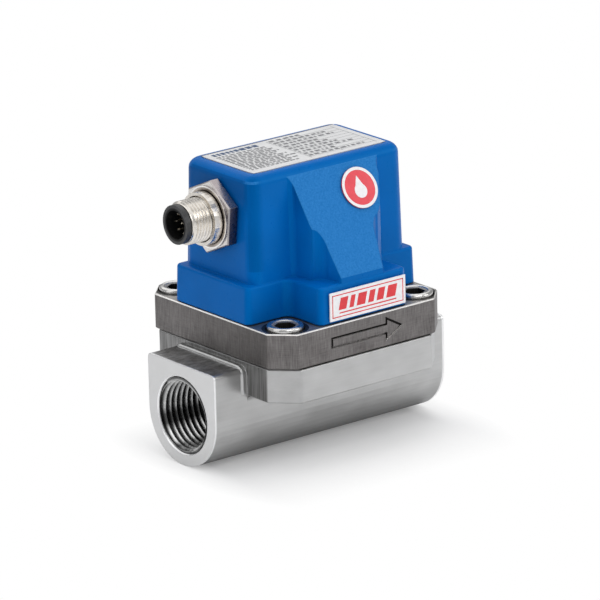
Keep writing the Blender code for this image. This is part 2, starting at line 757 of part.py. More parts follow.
def ramp_side(sign, half, half_top, inset, spread):
    """One side of the ramp block in plan, from the upper body out to the tip of the nose."""
    back = -BODY_Y / 2 + (RAMP_BACK_INNER if inset else RAMP_BACK)
    root = -BODY_Y / 2 - spread - RAMP_ROOT + RAMP_MERGE
    front = -SKIRT_Y / 2 + GAP + inset
    step = -RAMP_STEP_Y + inset
    nose = NOSE_HALF - inset
    top = half_top - inset
    points = [(top + RAMP_ROOT, back)]
    points += arc(top + RAMP_ROOT, root, RAMP_ROOT, math.pi / 2, math.pi, 6)
    points.append((half - inset, step + RAMP_FILLET / 3))
    points += arc(nose + RAMP_FILLET, step - RAMP_FILLET, RAMP_FILLET, math.pi / 2, math.pi, 6)
    points.append((nose - NOSE_TAPER, front))
    return [(sign * x, y) for x, y in points]


def ramp_outline(inset, spread):
    """Plan of the block under the sloping face: wide behind, a narrow nose in front."""
    left = ramp_side(-1, RAMP_LEFT, RAMP_LEFT_TOP, inset, spread)
    return left + ramp_side(1, RAMP_RIGHT, RAMP_RIGHT_TOP, inset, spread)[::-1]


def ramp_block(side, inset, bottom):
    """Block under the slope at the front, or its mirror image at the back."""
    drop = inset * math.hypot(1.0, RAMP_SLOPE)
    spread = BODY_DRAFT_Y * (SHOULDER - bottom)
    low = [(x, y, bottom) for x, y in ramp_outline(inset, spread)]
    high = [(x, y, ramp_height(y) - drop) for x, y in ramp_outline(inset, 0.0)]
    bm = loft([[(x, side * y, z) for x, y, z in ring] for ring in (low, high)])
    bmesh.ops.triangulate(bm, faces=[face for face in bm.faces if len(face.verts) == 4])
    return bm


def body_ring(inset, z):
    """Outline of the upper body at a height, grown downwards by the draft."""
    fall = SHOULDER - z
    outline = rounded_rectangle(BODY_X - 2 * inset + 2 * BODY_DRAFT_X * fall,
                                BODY_Y - 2 * inset + 2 * BODY_DRAFT_Y * fall,
                                BODY_R - inset / 2)
    return [(x + BODY_SHIFT, y, z) for x, y in outline]


def upper_body(bottom):
    """Upper part of the housing: drafted walls and a broadly rounded roof edge."""
    rings = [body_ring(0.0, bottom), body_ring(0.0, SHOULDER)]
    steps = 6
    for i in range(1, steps + 1):
        turn = math.pi / 2 * i / steps
        inset = ROOF_ROUND * (1 - math.cos(turn))
        ring = body_ring(inset, SHOULDER)
        rings.append([(x, y, SHOULDER + ROOF_ROUND * math.sin(turn)) for x, y, _ in ring])
    return loft(rings)


def skirt_outline(grow):
    """Cross with rounded arms and hollow inner corners that leave room for the screws."""
    across, along = SKIRT_X / 2 + grow, SKIRT_Y / 2 + grow
    arm_y, arm_x = SKIRT_X_ARM / 2 + grow, SKIRT_Y_ARM / 2 + grow
    outer, inner = SKIRT_R + grow, SKIRT_FILLET - grow
    quarter = arc(across - outer, arm_y - outer, outer, 0, math.pi / 2, 5)
    quarter += arc(arm_x + inner, arm_y + inner, inner, -math.pi / 2, -math.pi, 6)
    quarter += arc(arm_x - outer, along - outer, outer, 0, math.pi / 2, 5)
    outline = []
    for sx, sy in ((1, 1), (-1, 1), (-1, -1), (1, -1)):
        points = [(sx * x, sy * y) for x, y in quarter]
        outline += points if sx * sy > 0 else points[::-1]
    return outline


def skirt():
    """Foot of the housing, slightly drafted, with its upper edge rounded."""
    levels = [(HOUSING_BOTTOM, SKIRT_DRAFT)]
    steps = 3
    for i in range(steps + 1):
        turn = math.pi / 2 * i / steps
        levels.append((SKIRT_TOP - SKIRT_EDGE * (1 - math.sin(turn)),
                       -SKIRT_EDGE * (1 - math.cos(turn))))
    return loft([[(x, y, z) for x, y in skirt_outline(grow)] for z, grow in levels])


def housing(look):
    made = finish("housing", skirt(), look)
    join(made, upper_body(SLAB_TOP - CLEAR), "upper_body")
    for side, name in ((1, "ramp_front"), (-1, "ramp_back")):
        join(made, ramp_block(side, 0.0, SLAB_TOP - CLEAR / 2), name)
    recess_floor = HOUSING_TOP + NAME_PLATE_PROUD - NAME_PLATE_THICK - GAP
    recess = slab(NAME_PLATE_X + 2 * GAP, NAME_PLATE_Y + 2 * GAP, NAME_PLATE_R + GAP,
                  recess_floor, HOUSING_TOP + CLEAR)
    cut(made, moved(recess, BODY_SHIFT), "name_plate_recess")
    roof = recess_floor - HOUSING_WALL
    cavity = loft([body_ring(HOUSING_WALL, z) for z in (SLAB_TOP, roof)])
    cut(made, cavity, "upper_cavity")
    for side, name in ((1, "hollow_front"), (-1, "hollow_back")):
        cut(made, ramp_block(side, HOUSING_WALL, SLAB_TOP + GAP), name)
    cut(made, cylinder(OPENING_D, HOUSING_BOTTOM - CLEAR, SLAB_TOP + CLEAR, FINE), "opening")
    reach = HOUSING_SEAL_R + GAP
    groove = tube(HOUSING_SEAL_D + 2 * reach, HOUSING_SEAL_D - 2 * reach,
                  HOUSING_BOTTOM - CLEAR, PLATE_TOP + 2 * HOUSING_SEAL_R + 2 * GAP, FINE)
    cut(made, groove, "seal_groove")
    tip = PLATE_BOTTOM + GAP + HOUSING_SCREW_HEAD + HOUSING_SCREW_LENGTH + GAP
    for i, (sx, sy) in enumerate(corners(), 1):
        hole = cylinder(HOUSING_SCREW_D + 2 * GAP, HOUSING_BOTTOM - CLEAR, tip, COARSE)
        cut(made, moved(hole, sx * HOUSING_SCREW_X, sy * HOUSING_SCREW_Y), f"fixing_hole_{i}")
    side = wall_at(CONNECTOR_Z)
    port = along_x(cylinder(CONNECTOR_D + 2 * GAP, side - CLEAR, side + HOUSING_WALL + CLEAR))
    cut(made, moved(port, z=CONNECTOR_Z), "connector_hole")
    return made


def wall_at(z):
    """Outer face of the inlet side of the upper body at a height."""
    return BODY_SHIFT - BODY_X / 2 - BODY_DRAFT_X * (SHOULDER - z)


def connector(nickel, black, gold):
    """Threaded panel connector through the inlet side of the housing."""
    wall = wall_at(CONNECTOR_Z - NUT_FLATS / math.sqrt(3))
    inside = wall_at(CONNECTOR_Z) + HOUSING_WALL + BODY_DRAFT_X * INNER_FLANGE_D + GAP
    front = wall_at(CONNECTOR_Z) - CONNECTOR_REACH
    lip = front + INSERT_PROUD + GAP
    flange_back = inside + INNER_FLANGE_THICK
    bore = CONNECTOR_BORE_D / 2
    outer = CONNECTOR_D / 2
    flange = INNER_FLANGE_D / 2
    edge = outer - bore - GAP
    profile = [(bore, lip), (outer - edge, lip), (outer, lip + edge), (outer, inside),
               (flange, inside), (flange, flange_back), (bore, flange_back)]
    finish("connector_shell", moved(along_x(turned(profile, MEDIUM)), z=CONNECTOR_Z), nickel)

    nut_back = wall - GAP
    nut_front = nut_back - NUT_THICK
    small, full = hexagon(NUT_FLATS - 2 * NUT_EDGE, NUT_TURN), hexagon(NUT_FLATS, NUT_TURN)
    levels = ((small, nut_front), (full, nut_front + NUT_EDGE), (full, nut_back))
    hexagonal = loft([[(x, y, z) for x, y in outline] for outline, z in levels])
    nut = finish("connector_nut", moved(along_x(hexagonal), z=CONNECTOR_Z), nickel)
    face = along_x(cylinder(NUT_FACE_D, nut_front - NUT_FACE, nut_front + NUT_EDGE))
    join(nut, moved(face, z=CONNECTOR_Z), "washer_face")
    nut_front -= NUT_FACE
    hole = along_x(cylinder(CONNECTOR_D + 2 * GAP, nut_front - CLEAR, nut_back + CLEAR))
    cut(nut, moved(hole, z=CONNECTOR_Z), "thread_hole")

    collar_back = nut_front - GAP
    collar = tube(COLLAR_D, CONNECTOR_D + 2 * GAP, collar_back - COLLAR_THICK, collar_back)
    finish("connector_collar", moved(along_x(collar), z=CONNECTOR_Z), nickel)

    cavity = CONNECTOR_CAVITY_D / 2
    face = CONNECTOR_INSERT_D / 2
    body = bore - GAP
    floor = front + CONNECTOR_CAVITY_DEPTH
    tail = flange_back + INSERT_TAIL
    profile = [(0, floor), (cavity, floor), (cavity, front), (face, front),
               (face, front + INSERT_PROUD), (body, front + INSERT_PROUD), (body, tail),
               (0, tail)]
    insert = finish("connector_insert", moved(along_x(turned(profile, MEDIUM, False)),
                                              z=CONNECTOR_Z), black)
    for i in range(PIN_COUNT):
        turn = 2 * math.pi * i / (PIN_COUNT - 1)
        reach = PIN_CIRCLE_D / 2 if i < PIN_COUNT - 1 else 0.0
        y, z = reach * math.cos(turn), CONNECTOR_Z + reach * math.sin(turn)
        hole = cylinder(PIN_D + 2 * GAP, floor - CLEAR / 4, tail + CLEAR, SMALL)
        cut(insert, moved(along_x(hole), y=y, z=z), f"pin_hole_{i + 1}")
        half = PIN_D / 2
        profile = [(0, floor - PIN_LENGTH), (half / 2, floor - PIN_LENGTH),
                   (half, floor - PIN_LENGTH + half), (half, tail + PIN_TAIL),
                   (0, tail + PIN_TAIL)]
        pin = moved(along_x(turned(profile, SMALL, False)), y=y, z=z)
        finish(f"connector_pin_{i + 1}", pin, gold)


def housing_seal(look):
    ring = torus(HOUSING_SEAL_D, HOUSING_SEAL_R, PLATE_TOP + GAP + HOUSING_SEAL_R, FINE, 8)
    finish("housing_seal", ring, look)


def labels(silver, white, red):
    """Name plate in the roof, oblong label on the skirt and round badge on the slope."""
    top = HOUSING_TOP + NAME_PLATE_PROUD
    plate = slab(NAME_PLATE_X, NAME_PLATE_Y, NAME_PLATE_R, top - NAME_PLATE_THICK, top)
    finish("name_plate", moved(plate, BODY_SHIFT), silver)
    back = -SKIRT_Y / 2 - SKIRT_DRAFT - GAP
    size = (LABEL_LENGTH, LABEL_THICK, LABEL_HEIGHT)
    centre = (LABEL_CENTRE_X, back - LABEL_THICK / 2, LABEL_BOTTOM + LABEL_HEIGHT / 2)
    finish("front_label", block(size, centre), white)
    badge = cylinder(BADGE_D, GAP, GAP + BADGE_THICK)
    tilt = math.atan(RAMP_SLOPE)
    bmesh.ops.rotate(badge, cent=(0, 0, 0), matrix=Matrix.Rotation(tilt, 3, "X"),
                     verts=badge.verts)
    y = (BADGE_Z - ramp_height(0.0)) / RAMP_SLOPE
    finish("round_badge", moved(badge, BADGE_X, y, BADGE_Z), red)


def board_carrier(look):
    """Moulded foot on the hub with two grooved rails for the circuit board."""
    bottom = HUB_TOP + GAP
    top = bottom + CARRIER_THICK
    made = finish("board_carrier", slab(CARRIER_X, CARRIER_Y, CARRIER_R, bottom, top), look)
    for side in (-1, 1):
        x = side * (BOARD_X / 2 + GAP + RAIL_WIDTH / 2 - GROOVE_DEPTH)
        rail = block((RAIL_WIDTH, RAIL_DEPTH, RAIL_HEIGHT + CARRIER_THICK / 2),
                     (x, BOARD_Y, top + RAIL_HEIGHT / 2 - CARRIER_THICK / 4))
        join(made, rail, f"rail_{side + 2}")
    groove = block((BOARD_X + 2 * GAP, BOARD_THICK + 2 * GAP, RAIL_HEIGHT + CLEAR),
                   (0, BOARD_Y, top + (RAIL_HEIGHT + CLEAR) / 2))
    cut(made, groove, "groove")
    cut(made, cylinder(TUBE_D + 2 * GAP, bottom - CLEAR, top + CLEAR, COARSE), "tube_hole")
    for sx in (-1, 1):
        hole = cylinder(CARRIER_SCREW_D + 2 * GAP, bottom - CLEAR, top + CLEAR, COARSE)
        cut(made, moved(hole, sx * CARRIER_SCREW_X), f"screw_hole_{sx + 2}")
    return top


def carrier_screws(look, seat):
    head, shank = CARRIER_SCREW_HEAD_D / 2, CARRIER_SCREW_D / 2
    under = seat + GAP
    tip = HUB_TOP - CARRIER_SCREW_LENGTH + GAP
    profile = [(0, tip), (shank, tip), (shank, under), (head, under),
               (head, under + CARRIER_SCREW_HEAD), (0, under + CARRIER_SCREW_HEAD)]
    for i, sx in enumerate((-1, 1), 1):
        screw = moved(turned(profile, COARSE, False), sx * CARRIER_SCREW_X)
        finish(f"carrier_screw_{i}", screw, look)


def electronics(green, black, steel, carrier_top):
    bottom = carrier_top + GAP
    middle = bottom + BOARD_Z / 2
    finish("circuit_board", block((BOARD_X, BOARD_THICK, BOARD_Z), (0, BOARD_Y, middle)), green)
    front = BOARD_Y - BOARD_THICK / 2 - GAP
    rear = BOARD_Y + BOARD_THICK / 2 + GAP
    sensor_z = (MAGNET_BOTTOM + MAGNET_TOP) / 2
    pieces = (
        ("hall_sensor", (SENSOR_WIDTH, SENSOR_THICK, SENSOR_HEIGHT),
         (0, front - SENSOR_THICK / 2, sensor_z)),
        ("processor_chip", (PROCESSOR_SIDE, PROCESSOR_THICK, PROCESSOR_SIDE),
         (PROCESSOR_X, rear + PROCESSOR_THICK / 2, middle)),
        ("board_header", (HEADER_WIDTH, HEADER_THICK, HEADER_HEIGHT),
         (HEADER_X, rear + HEADER_THICK / 2, middle)),
    )
    for name, size, centre in pieces:
        finish(name, block(size, centre), black)
    can = cylinder(CAPACITOR_D, 0, CAPACITOR_LENGTH, COARSE)
    bmesh.ops.rotate(can, cent=(0, 0, 0), matrix=Matrix.Rotation(math.pi / 2, 3, "X"),
                     verts=can.verts)
    finish("capacitor", moved(can, CAPACITOR_X, front, middle), steel)


def main():
    for old in list(bpy.data.objects):
        bpy.data.objects.remove(old)
    steel = material("machined_steel", STEEL, 0.32, 1.0)
    cast = material("cast_plate", (0.27, 0.25, 0.24), 0.5, 1.0)
    blue = material("blue_paint", (0.0, 0.09, 0.42), 0.35, 0.0)
    bright = material("screw_steel", (0.7, 0.69, 0.67), 0.22, 1.0)
    nickel = material("nickel", (0.66, 0.62, 0.56), 0.25, 1.0)
    brass = material("brass", (0.72, 0.55, 0.28), 0.3, 1.0)
    gold = material("contact_gold", (0.83, 0.65, 0.3), 0.25, 1.0)
    black = material("black_plastic", (0.02, 0.02, 0.02), 0.5, 0.0)
    rubber = material("black_rubber", (0.025, 0.025, 0.027), 0.75, 0.0)
    spring = material("spring_steel", (0.5, 0.5, 0.5), 0.3, 1.0)
    magnet = material("magnet", (0.35, 0.35, 0.37), 0.35, 1.0)
    green = material("board_green", (0.02, 0.2, 0.08), 0.45, 0.0)
    silver = material("name_plate_silver", (0.62, 0.61, 0.6), 0.4, 0.6)
    white = material("label_white", (0.9, 0.88, 0.88), 0.45, 0.0)
    red = material("badge_red", (0.85, 0.05, 0.07), 0.4, 0.0)

    pipe_body(steel)
    orifice_plate(bright)
    orifice_retainer(bright)
    cover_plate(cast)
    cap_screws(bright)
    diaphragm(rubber)
    plunger(bright, brass, magnet, black)
    range_spring(spring)
    guide_tube(bright, rubber)
    housing(blue)
    housing_seal(rubber)
    housing_screws(bright)
    connector(nickel, black, gold)
    labels(silver, white, red)
    carrier_top = board_carrier(black)
    carrier_screws(bright, carrier_top)
    electronics(green, black, steel, carrier_top)


main()
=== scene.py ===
"""Looks of the flow meter: surfaces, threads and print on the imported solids, and the studio.

The pipe lies along X, the photograph shows the -X end and the -Y side, and Z is up.
Lengths are in metres unless a comment says otherwise.
"""

import json
import math
import random

import bmesh
import bpy
from mathutils import Matrix, Vector

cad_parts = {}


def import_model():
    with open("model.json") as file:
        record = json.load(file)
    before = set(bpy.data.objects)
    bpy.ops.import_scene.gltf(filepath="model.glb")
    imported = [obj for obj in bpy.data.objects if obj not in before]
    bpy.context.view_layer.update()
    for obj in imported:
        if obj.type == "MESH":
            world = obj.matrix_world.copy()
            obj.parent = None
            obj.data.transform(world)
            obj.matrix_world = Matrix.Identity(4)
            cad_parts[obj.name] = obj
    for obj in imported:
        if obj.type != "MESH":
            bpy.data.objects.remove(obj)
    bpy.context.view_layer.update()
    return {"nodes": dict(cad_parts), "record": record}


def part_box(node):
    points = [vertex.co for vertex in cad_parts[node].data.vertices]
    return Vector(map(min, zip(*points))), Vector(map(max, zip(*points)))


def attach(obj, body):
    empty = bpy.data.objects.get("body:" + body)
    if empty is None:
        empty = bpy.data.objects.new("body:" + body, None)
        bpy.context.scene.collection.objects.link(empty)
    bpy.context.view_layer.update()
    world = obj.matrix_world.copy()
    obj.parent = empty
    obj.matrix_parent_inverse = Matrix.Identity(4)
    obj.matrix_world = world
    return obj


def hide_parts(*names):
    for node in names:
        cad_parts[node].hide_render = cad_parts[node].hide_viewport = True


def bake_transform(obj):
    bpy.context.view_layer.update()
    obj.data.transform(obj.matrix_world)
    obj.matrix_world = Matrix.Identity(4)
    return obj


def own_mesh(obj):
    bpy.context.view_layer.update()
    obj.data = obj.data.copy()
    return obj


MM = 0.001
BODY = "meter"

# Sides of a round mesh, and what counts as one height and as one point
PORT_SIDES = 84
PLUG_SIDES = 64
SCREW_SIDES = 60
SAME_HEIGHT = 1e-7
SAME_POINT = 1e-6

# Ports: half-inch pipe thread, the slant of its lead-in and how far it stays behind the face
PORT_RADIUS = 10.48 * MM
PORT_PITCH = 1.814 * MM
PORT_THREAD = 1.16 * MM
PORT_LENGTH = 13.3 * MM
PORT_LEAD = 0.35 * MM
PORT_LEAD_SLANT = 1.2
PORT_SETBACK = 0.1 * MM

# Arrow in the side of the plate: its lines are what lies deeper than the skin, within half
# the arrow's length of the middle; then where its tail and its barbs are, how wide the
# barbs' line is to each side, and the arrow's middle height
ARROW_SKIN = 0.25 * MM
ARROW_HALF = 14.5 * MM
ARROW_TAIL = -11.4 * MM
ARROW_NECK = 6.7 * MM
ARROW_BARB = 0.5 * MM
ARROW_MIDDLE = 21.35 * MM

# Cap screws and the painted shadow ring round them on the plate
SHANK_RADIUS = 3.0 * MM
SHANK_EDGE = 0.6 * MM
HEAD_RADIUS = 4.95 * MM
HEAD_HEIGHT = 6.0 * MM
HEAD_EDGE = 0.2 * MM
HEAD_ROUNDING = 0.8 * MM
SOCKET_FLATS = 5.0 * MM
SOCKET_DEPTH = 3.0 * MM
SOCKET_TOP = 0.5 * MM
SCREW_SHADOW_RADIUS = 6.3 * MM
# Radius and depth of the points across the dished top, from its rim inwards
DISH = ((3.85 * MM, 0.05 * MM), (3.6 * MM, 0.18 * MM), (3.42 * MM, 0.36 * MM),
        (3.06 * MM, 0.40 * MM))

# Plug connector
PLUG_PITCH = 1.0 * MM
PLUG_MAJOR = 6.0 * MM
PLUG_MINOR = 5.42 * MM
PLUG_BORE = 5.0 * MM
PLUG_BORE_EDGE = 0.35 * MM
PLUG_FLANGE = 1.5 * MM
PLUG_PLAIN = 6.0 * MM
PLUG_STEP = 0.2 * MM
INSERT_RIM = 4.5 * MM
NUT_FACE_RADIUS = 8.5 * MM

# Rounded V thread: its height, 0 at the root and 1 at the crest, at shares of the pitch
RIDGE = {0.0: 0.0, 0.06: 0.0, 0.47: 1.0, 0.56: 1.0, 0.97: 0.0}

# Ramp on the front of the housing: its rise over its run
RAMP_SLOPE = 1.847

# Print: how far it lies above its plate, and how far what is under it does
PRINT_LIFT = 0.02 * MM
UNDERPRINT_LIFT = 0.01 * MM

# Name plate: places from its left edge and its far edge, margins at the other two, its
# border, and the share of the plate that the border spans
HEADING_START = 2.2 * MM
HEADING_END = 17 * MM
HEADING_BELOW = 3.6 * MM
HEADING_HEIGHT = 1.9 * MM
HEADING_GAP = 0.45 * MM
TEXT_START = 1.8 * MM
TEXT_BELOW = 5.2 * MM
TEXT_STEP = 1.15 * MM
TEXT_HEIGHT = 0.7 * MM
TEXT_MARGIN = 1.6 * MM
TABLE_ROWS = 9
TABLE_LEFT = 21 * MM
TABLE_COLUMN = 31.5 * MM
TABLE_BELOW = 2.6 * MM
TABLE_STEP = 2.15 * MM
TABLE_HEIGHT = 1.0 * MM
TABLE_INDENT = 0.6 * MM
TABLE_UNDER = 0.5 * MM
TABLE_MARGIN = 2 * MM
TABLE_END = 1.5 * MM
TABLE_LINE = 0.13 * MM
PLATE_BORDER = 0.5 * MM
PLATE_SHARE = 0.995

# Label: frame, slanted bars (widths and gap in mm) and the line under them
LABEL_MARGIN = 0.75 * MM
LABEL_LINE = 0.28 * MM
LABEL_BARS = (2.6, 1.5, 2.9, 1.9, 2.3, 3.1)
LABEL_BAR_START = 2.1 * MM
LABEL_BAR_LOW = -1.2 * MM
LABEL_BAR_HEIGHT = 3.3 * MM
LABEL_BAR_SLANT = 0.8 * MM
LABEL_BAR_GAP = 1.0
LABEL_RULE_INDENT = 2.4 * MM
LABEL_RULE_LOW = -2.2 * MM
LABEL_RULE = 0.35 * MM

# Badge: how far its face is from its middle, its white rim, and the drop
BADGE_FACE = 0.16 * MM
BADGE_RIM = 5.68 * MM
BADGE_RIM_INNER = 4.85 * MM
DROP_RADIUS = 2.0 * MM
DROP_MIDDLE = -0.9 * MM
DROP_TIP = 3.4 * MM
DROP_POINTS = 28

# Camera, from fitting the object's edges in the photograph
CAMERA_PLACE = (-0.93481, -1.18626, 0.50254)
CAMERA_YAW = math.radians(-38.28)
CAMERA_PITCH = math.radians(17.59)
CAMERA_ROLL = math.radians(-1.305)
CAMERA_LENS = 354.4

# Place that the lights aim at
LIGHT_TARGET = (0, 0, 0.02)

# Floor: gap under the pipe, half its size, how white it is at the object, and how far
# shadows reach
FLOOR_GAP = 0.05 * MM
FLOOR_HALF = 4.0
FLOOR_WHITE = 0.2
SHADOW_REACH = 34 * MM
# For each axis, the middle and half the length of the shaded part, and how fast it ends
SHADED = (("X", 0.0, 34 * MM, 2.7), ("Y", -6 * MM, 8 * MM, 1.0))


def middle(node):
    """Centre of a CAD node's box."""
    low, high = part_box(node)
    return (low + high) / 2


# Materials

class Surface:
    """A Principled material with helpers that add procedural variation.

    Where a helper takes a value, that is a number or the output of a node.
    """

    def __init__(self, name, colour, roughness, metallic=0.0):
        self.material = bpy.data.materials.new(name)
        self.material.use_nodes = True
        tree = self.material.node_tree
        self.nodes, self.links = tree.nodes, tree.links
        self.shader = self.nodes["Principled BSDF"]
        self.colour = colour
        self.roughness = roughness
        self.set("Base Color", colour)
        self.set("Roughness", roughness)
        self.set("Metallic", metallic)
        self.place = self.nodes.new("ShaderNodeTexCoord").outputs["Object"]
        self.normal = None

    def feed(self, socket, value):
        """Give a socket a number, a colour or the output of a node."""
        if isinstance(value, bpy.types.NodeSocket):
            self.links.new(value, socket)
        else:
            socket.default_value = (*value, 1.0) if isinstance(value, tuple) else value

    def set(self, name, value):
        """Set one input of the Principled shader."""
        self.feed(self.shader.inputs[name], value)

    def math(self, operation, *values):
        """Result of one of Blender's math operations."""
        node = self.nodes.new("ShaderNodeMath")
        node.operation = operation
        for socket, value in zip(node.inputs, values):
            self.feed(socket, value)
        return node.outputs[0]

    def times(self, first, second):
        return self.math("MULTIPLY", first, second)

    def plus(self, first, second):
        return self.math("ADD", first, second)

    def minus(self, first, second):
        return self.math("SUBTRACT", first, second)

    def size(self, value):
        return self.math("ABSOLUTE", value)

    def over(self, value, limit):
        """1 where the value is over the limit, and 0 elsewhere."""
        return self.math("GREATER_THAN", value, limit)

    def under(self, value, limit):
        """1 where the value is under the limit, and 0 elsewhere."""
        return self.math("LESS_THAN", value, limit)

    def long_side(self, first, second):
        """Long side of a right triangle, from its two legs."""
        return self.math("SQRT", self.plus(self.times(first, first),
                                           self.times(second, second)))

    def noise(self, scale, detail=3.0, roughness=0.55):
        """Noise in cycles per metre: one scale, or one along each axis."""
        mapping = self.nodes.new("ShaderNodeMapping")
        scales = scale if isinstance(scale, tuple) else (scale, scale, scale)
        mapping.inputs["Scale"].default_value = scales
        texture = self.nodes.new("ShaderNodeTexNoise")
        texture.inputs["Scale"].default_value = 1.0
        texture.inputs["Detail"].default_value = detail
        texture.inputs["Roughness"].default_value = roughness
        self.links.new(self.place, mapping.inputs["Vector"])
        self.links.new(mapping.outputs["Vector"], texture.inputs["Vector"])
        return texture.outputs["Fac"]

    def spread(self, value, low, high, start=0.3, end=0.7):
        """Go from low to high as the value goes from start to end, and stay there beyond."""
        node = self.nodes.new("ShaderNodeMapRange")
        for socket, number in (("Value", value), ("From Min", start), ("From Max", end),
                               ("To Min", low), ("To Max", high)):
            self.feed(node.inputs[socket], number)
        return node.outputs["Result"]

    def mix(self, factor, first, second):
        """Colour that goes from the first to the second as the factor goes from 0 to 1."""
        node = self.nodes.new("ShaderNodeMix")
        node.data_type = "RGBA"
        for socket, value in (("Factor", factor), ("A", first), ("B", second)):
            self.feed(node.inputs[socket], value)
        return node.outputs["Result"]

    def facing(self, axis):
        """How far the flat face looks along an axis, from -1 to 1."""
        geometry = self.nodes.new("ShaderNodeNewGeometry")
        split = self.nodes.new("ShaderNodeSeparateXYZ")
        self.links.new(geometry.outputs["True Normal"], split.inputs["Vector"])
        return split.outputs[axis]

    def square_to(self, axis, start=0.8, end=0.95):
        """1 on faces that look either way along an axis, and 0 on the others."""
        return self.spread(self.size(self.facing(axis)), 0, 1, start, end)

    def position(self, axis):
        """Place along an axis, in metres."""
        split = self.nodes.new("ShaderNodeSeparateXYZ")
        self.links.new(self.place, split.inputs["Vector"])
        return split.outputs[axis]

    def distance(self, first, second, centre=(0.0, 0.0)):
        """Distance from a line along the third axis; mirrored where its centre isn't 0."""
        legs = []
        for axis, offset in zip((first, second), centre):
            leg = self.position(axis)
            legs.append(self.minus(self.size(leg), offset) if offset else leg)
        return self.long_side(*legs)

    def tint(self, value, amount):
        """Vary the base colour in brightness by a noise."""
        dark = tuple(c * (1 - amount) for c in self.colour)
        light = tuple(min(1.0, c * (1 + amount)) for c in self.colour)
        self.set("Base Color", self.mix(self.spread(value, 0, 1), dark, light))

    def gloss(self, value, amount):
        """Vary the roughness by a noise."""
        self.set("Roughness", self.spread(value, self.roughness - amount,
                                          self.roughness + amount))

    def bevel(self, radius):
        """Shade edges as if they were rounded."""
        node = self.nodes.new("ShaderNodeBevel")
        node.samples = 6
        node.inputs["Radius"].default_value = radius
        self.normal = node.outputs["Normal"]
        self.set("Normal", self.normal)

    def bump(self, value, distance):
        """Relief of that depth, on top of the bevel and the bumps so far."""
        node = self.nodes.new("ShaderNodeBump")
        node.inputs["Distance"].default_value = distance
        self.links.new(value, node.inputs["Height"])
        if self.normal:
            self.links.new(self.normal, node.inputs["Normal"])
        self.normal = node.outputs["Normal"]
        self.set("Normal", self.normal)


def plain(name, colour, roughness, metallic=0.0, bump=0.01 * MM):
    """Surface with a little fine variation, for small pieces."""
    made = Surface(name, colour, roughness, metallic)
    fine = made.noise(900)
    made.tint(fine, 0.06)
    made.gloss(made.noise(300), 0.06)
    made.bump(fine, bump)
    return made.material


def pipe_steel():
    """Milled steel: lighter end faces with a painted highlight at their edge, a darker streaked
    face at each end of the flange, painted shade underneath and in the ports.
    """
    made = Surface("pipe_steel", (0.55, 0.55, 0.545), 0.34, 1.0)
    made.bevel(0.4 * MM)
    face, flange_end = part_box("pipe_body")[1].x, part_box("cover_plate")[1].x
    lines = made.noise((60, 900, 1400), 4.0)
    blotch = made.noise((70, 130, 130), 2.0)
    end_streaks = made.noise((1800, 1800, 90), 4.0)
    scuff = made.noise((300, 900, 300), 4.0, 0.7)
    along = made.size(made.position("X"))
    across = made.square_to("X")

    # Milled sides, with painted shade underneath
    mottled = made.plus(made.times(lines, 0.2), made.times(blotch, 0.8))
    side = made.mix(made.spread(mottled, 0, 1), (0.45, 0.45, 0.445), (0.60, 0.60, 0.595))
    shade_underneath = made.spread(made.position("Z"), 1, 0, -12.5 * MM, -5 * MM)
    side = made.mix(shade_underneath, side, (0.26, 0.26, 0.258))

    # Darker ends of the flange, with upright streaks
    dark = made.mix(made.spread(end_streaks, 0, 1, 0.35, 0.65), (0.17, 0.168, 0.165),
                    (0.33, 0.328, 0.325))
    at_flange = made.times(across, made.under(along, flange_end))
    colour = made.mix(at_flange, side, dark)

    # Scuffed tops of the blocks that hold the ports
    block_top = made.times(made.spread(made.facing("Z"), 0, 1, 0.8, 0.95),
                           made.over(along, flange_end))
    scuffed = made.mix(made.spread(scuff, 0, 1, 0.4, 0.6), (0.37, 0.368, 0.365),
                       (0.66, 0.658, 0.655))
    colour = made.mix(block_top, colour, scuffed)

    # Painted highlight along the edge of each end, a lighter end face, and painted shade deep in
    # the port behind the thread
    rim_highlight = made.times(made.minus(1.0, across),
                     made.spread(along, 0, 1, face - 0.7 * MM, face - 0.35 * MM))
    colour = made.mix(rim_highlight, colour, (1.0, 1.0, 1.0))
    at_end = made.times(across, made.over(along, face - 0.4 * MM))
    colour = made.mix(at_end, colour, (0.74, 0.74, 0.735))
    # Painted shade deep in the port
    port_shade = made.times(made.under(made.distance("Y", "Z"), PORT_RADIUS + 0.12 * MM),
                         made.under(along, face - 1 * MM))
    made.set("Base Color", made.mix(port_shade, colour, (0.03, 0.03, 0.03)))

    made.gloss(blotch, 0.06)
    made.bump(lines, 0.01 * MM)
    made.bump(made.times(end_streaks, at_flange), 0.06 * MM)
    made.bump(made.noise(2200, 2.0), 0.012 * MM)
    return made.material


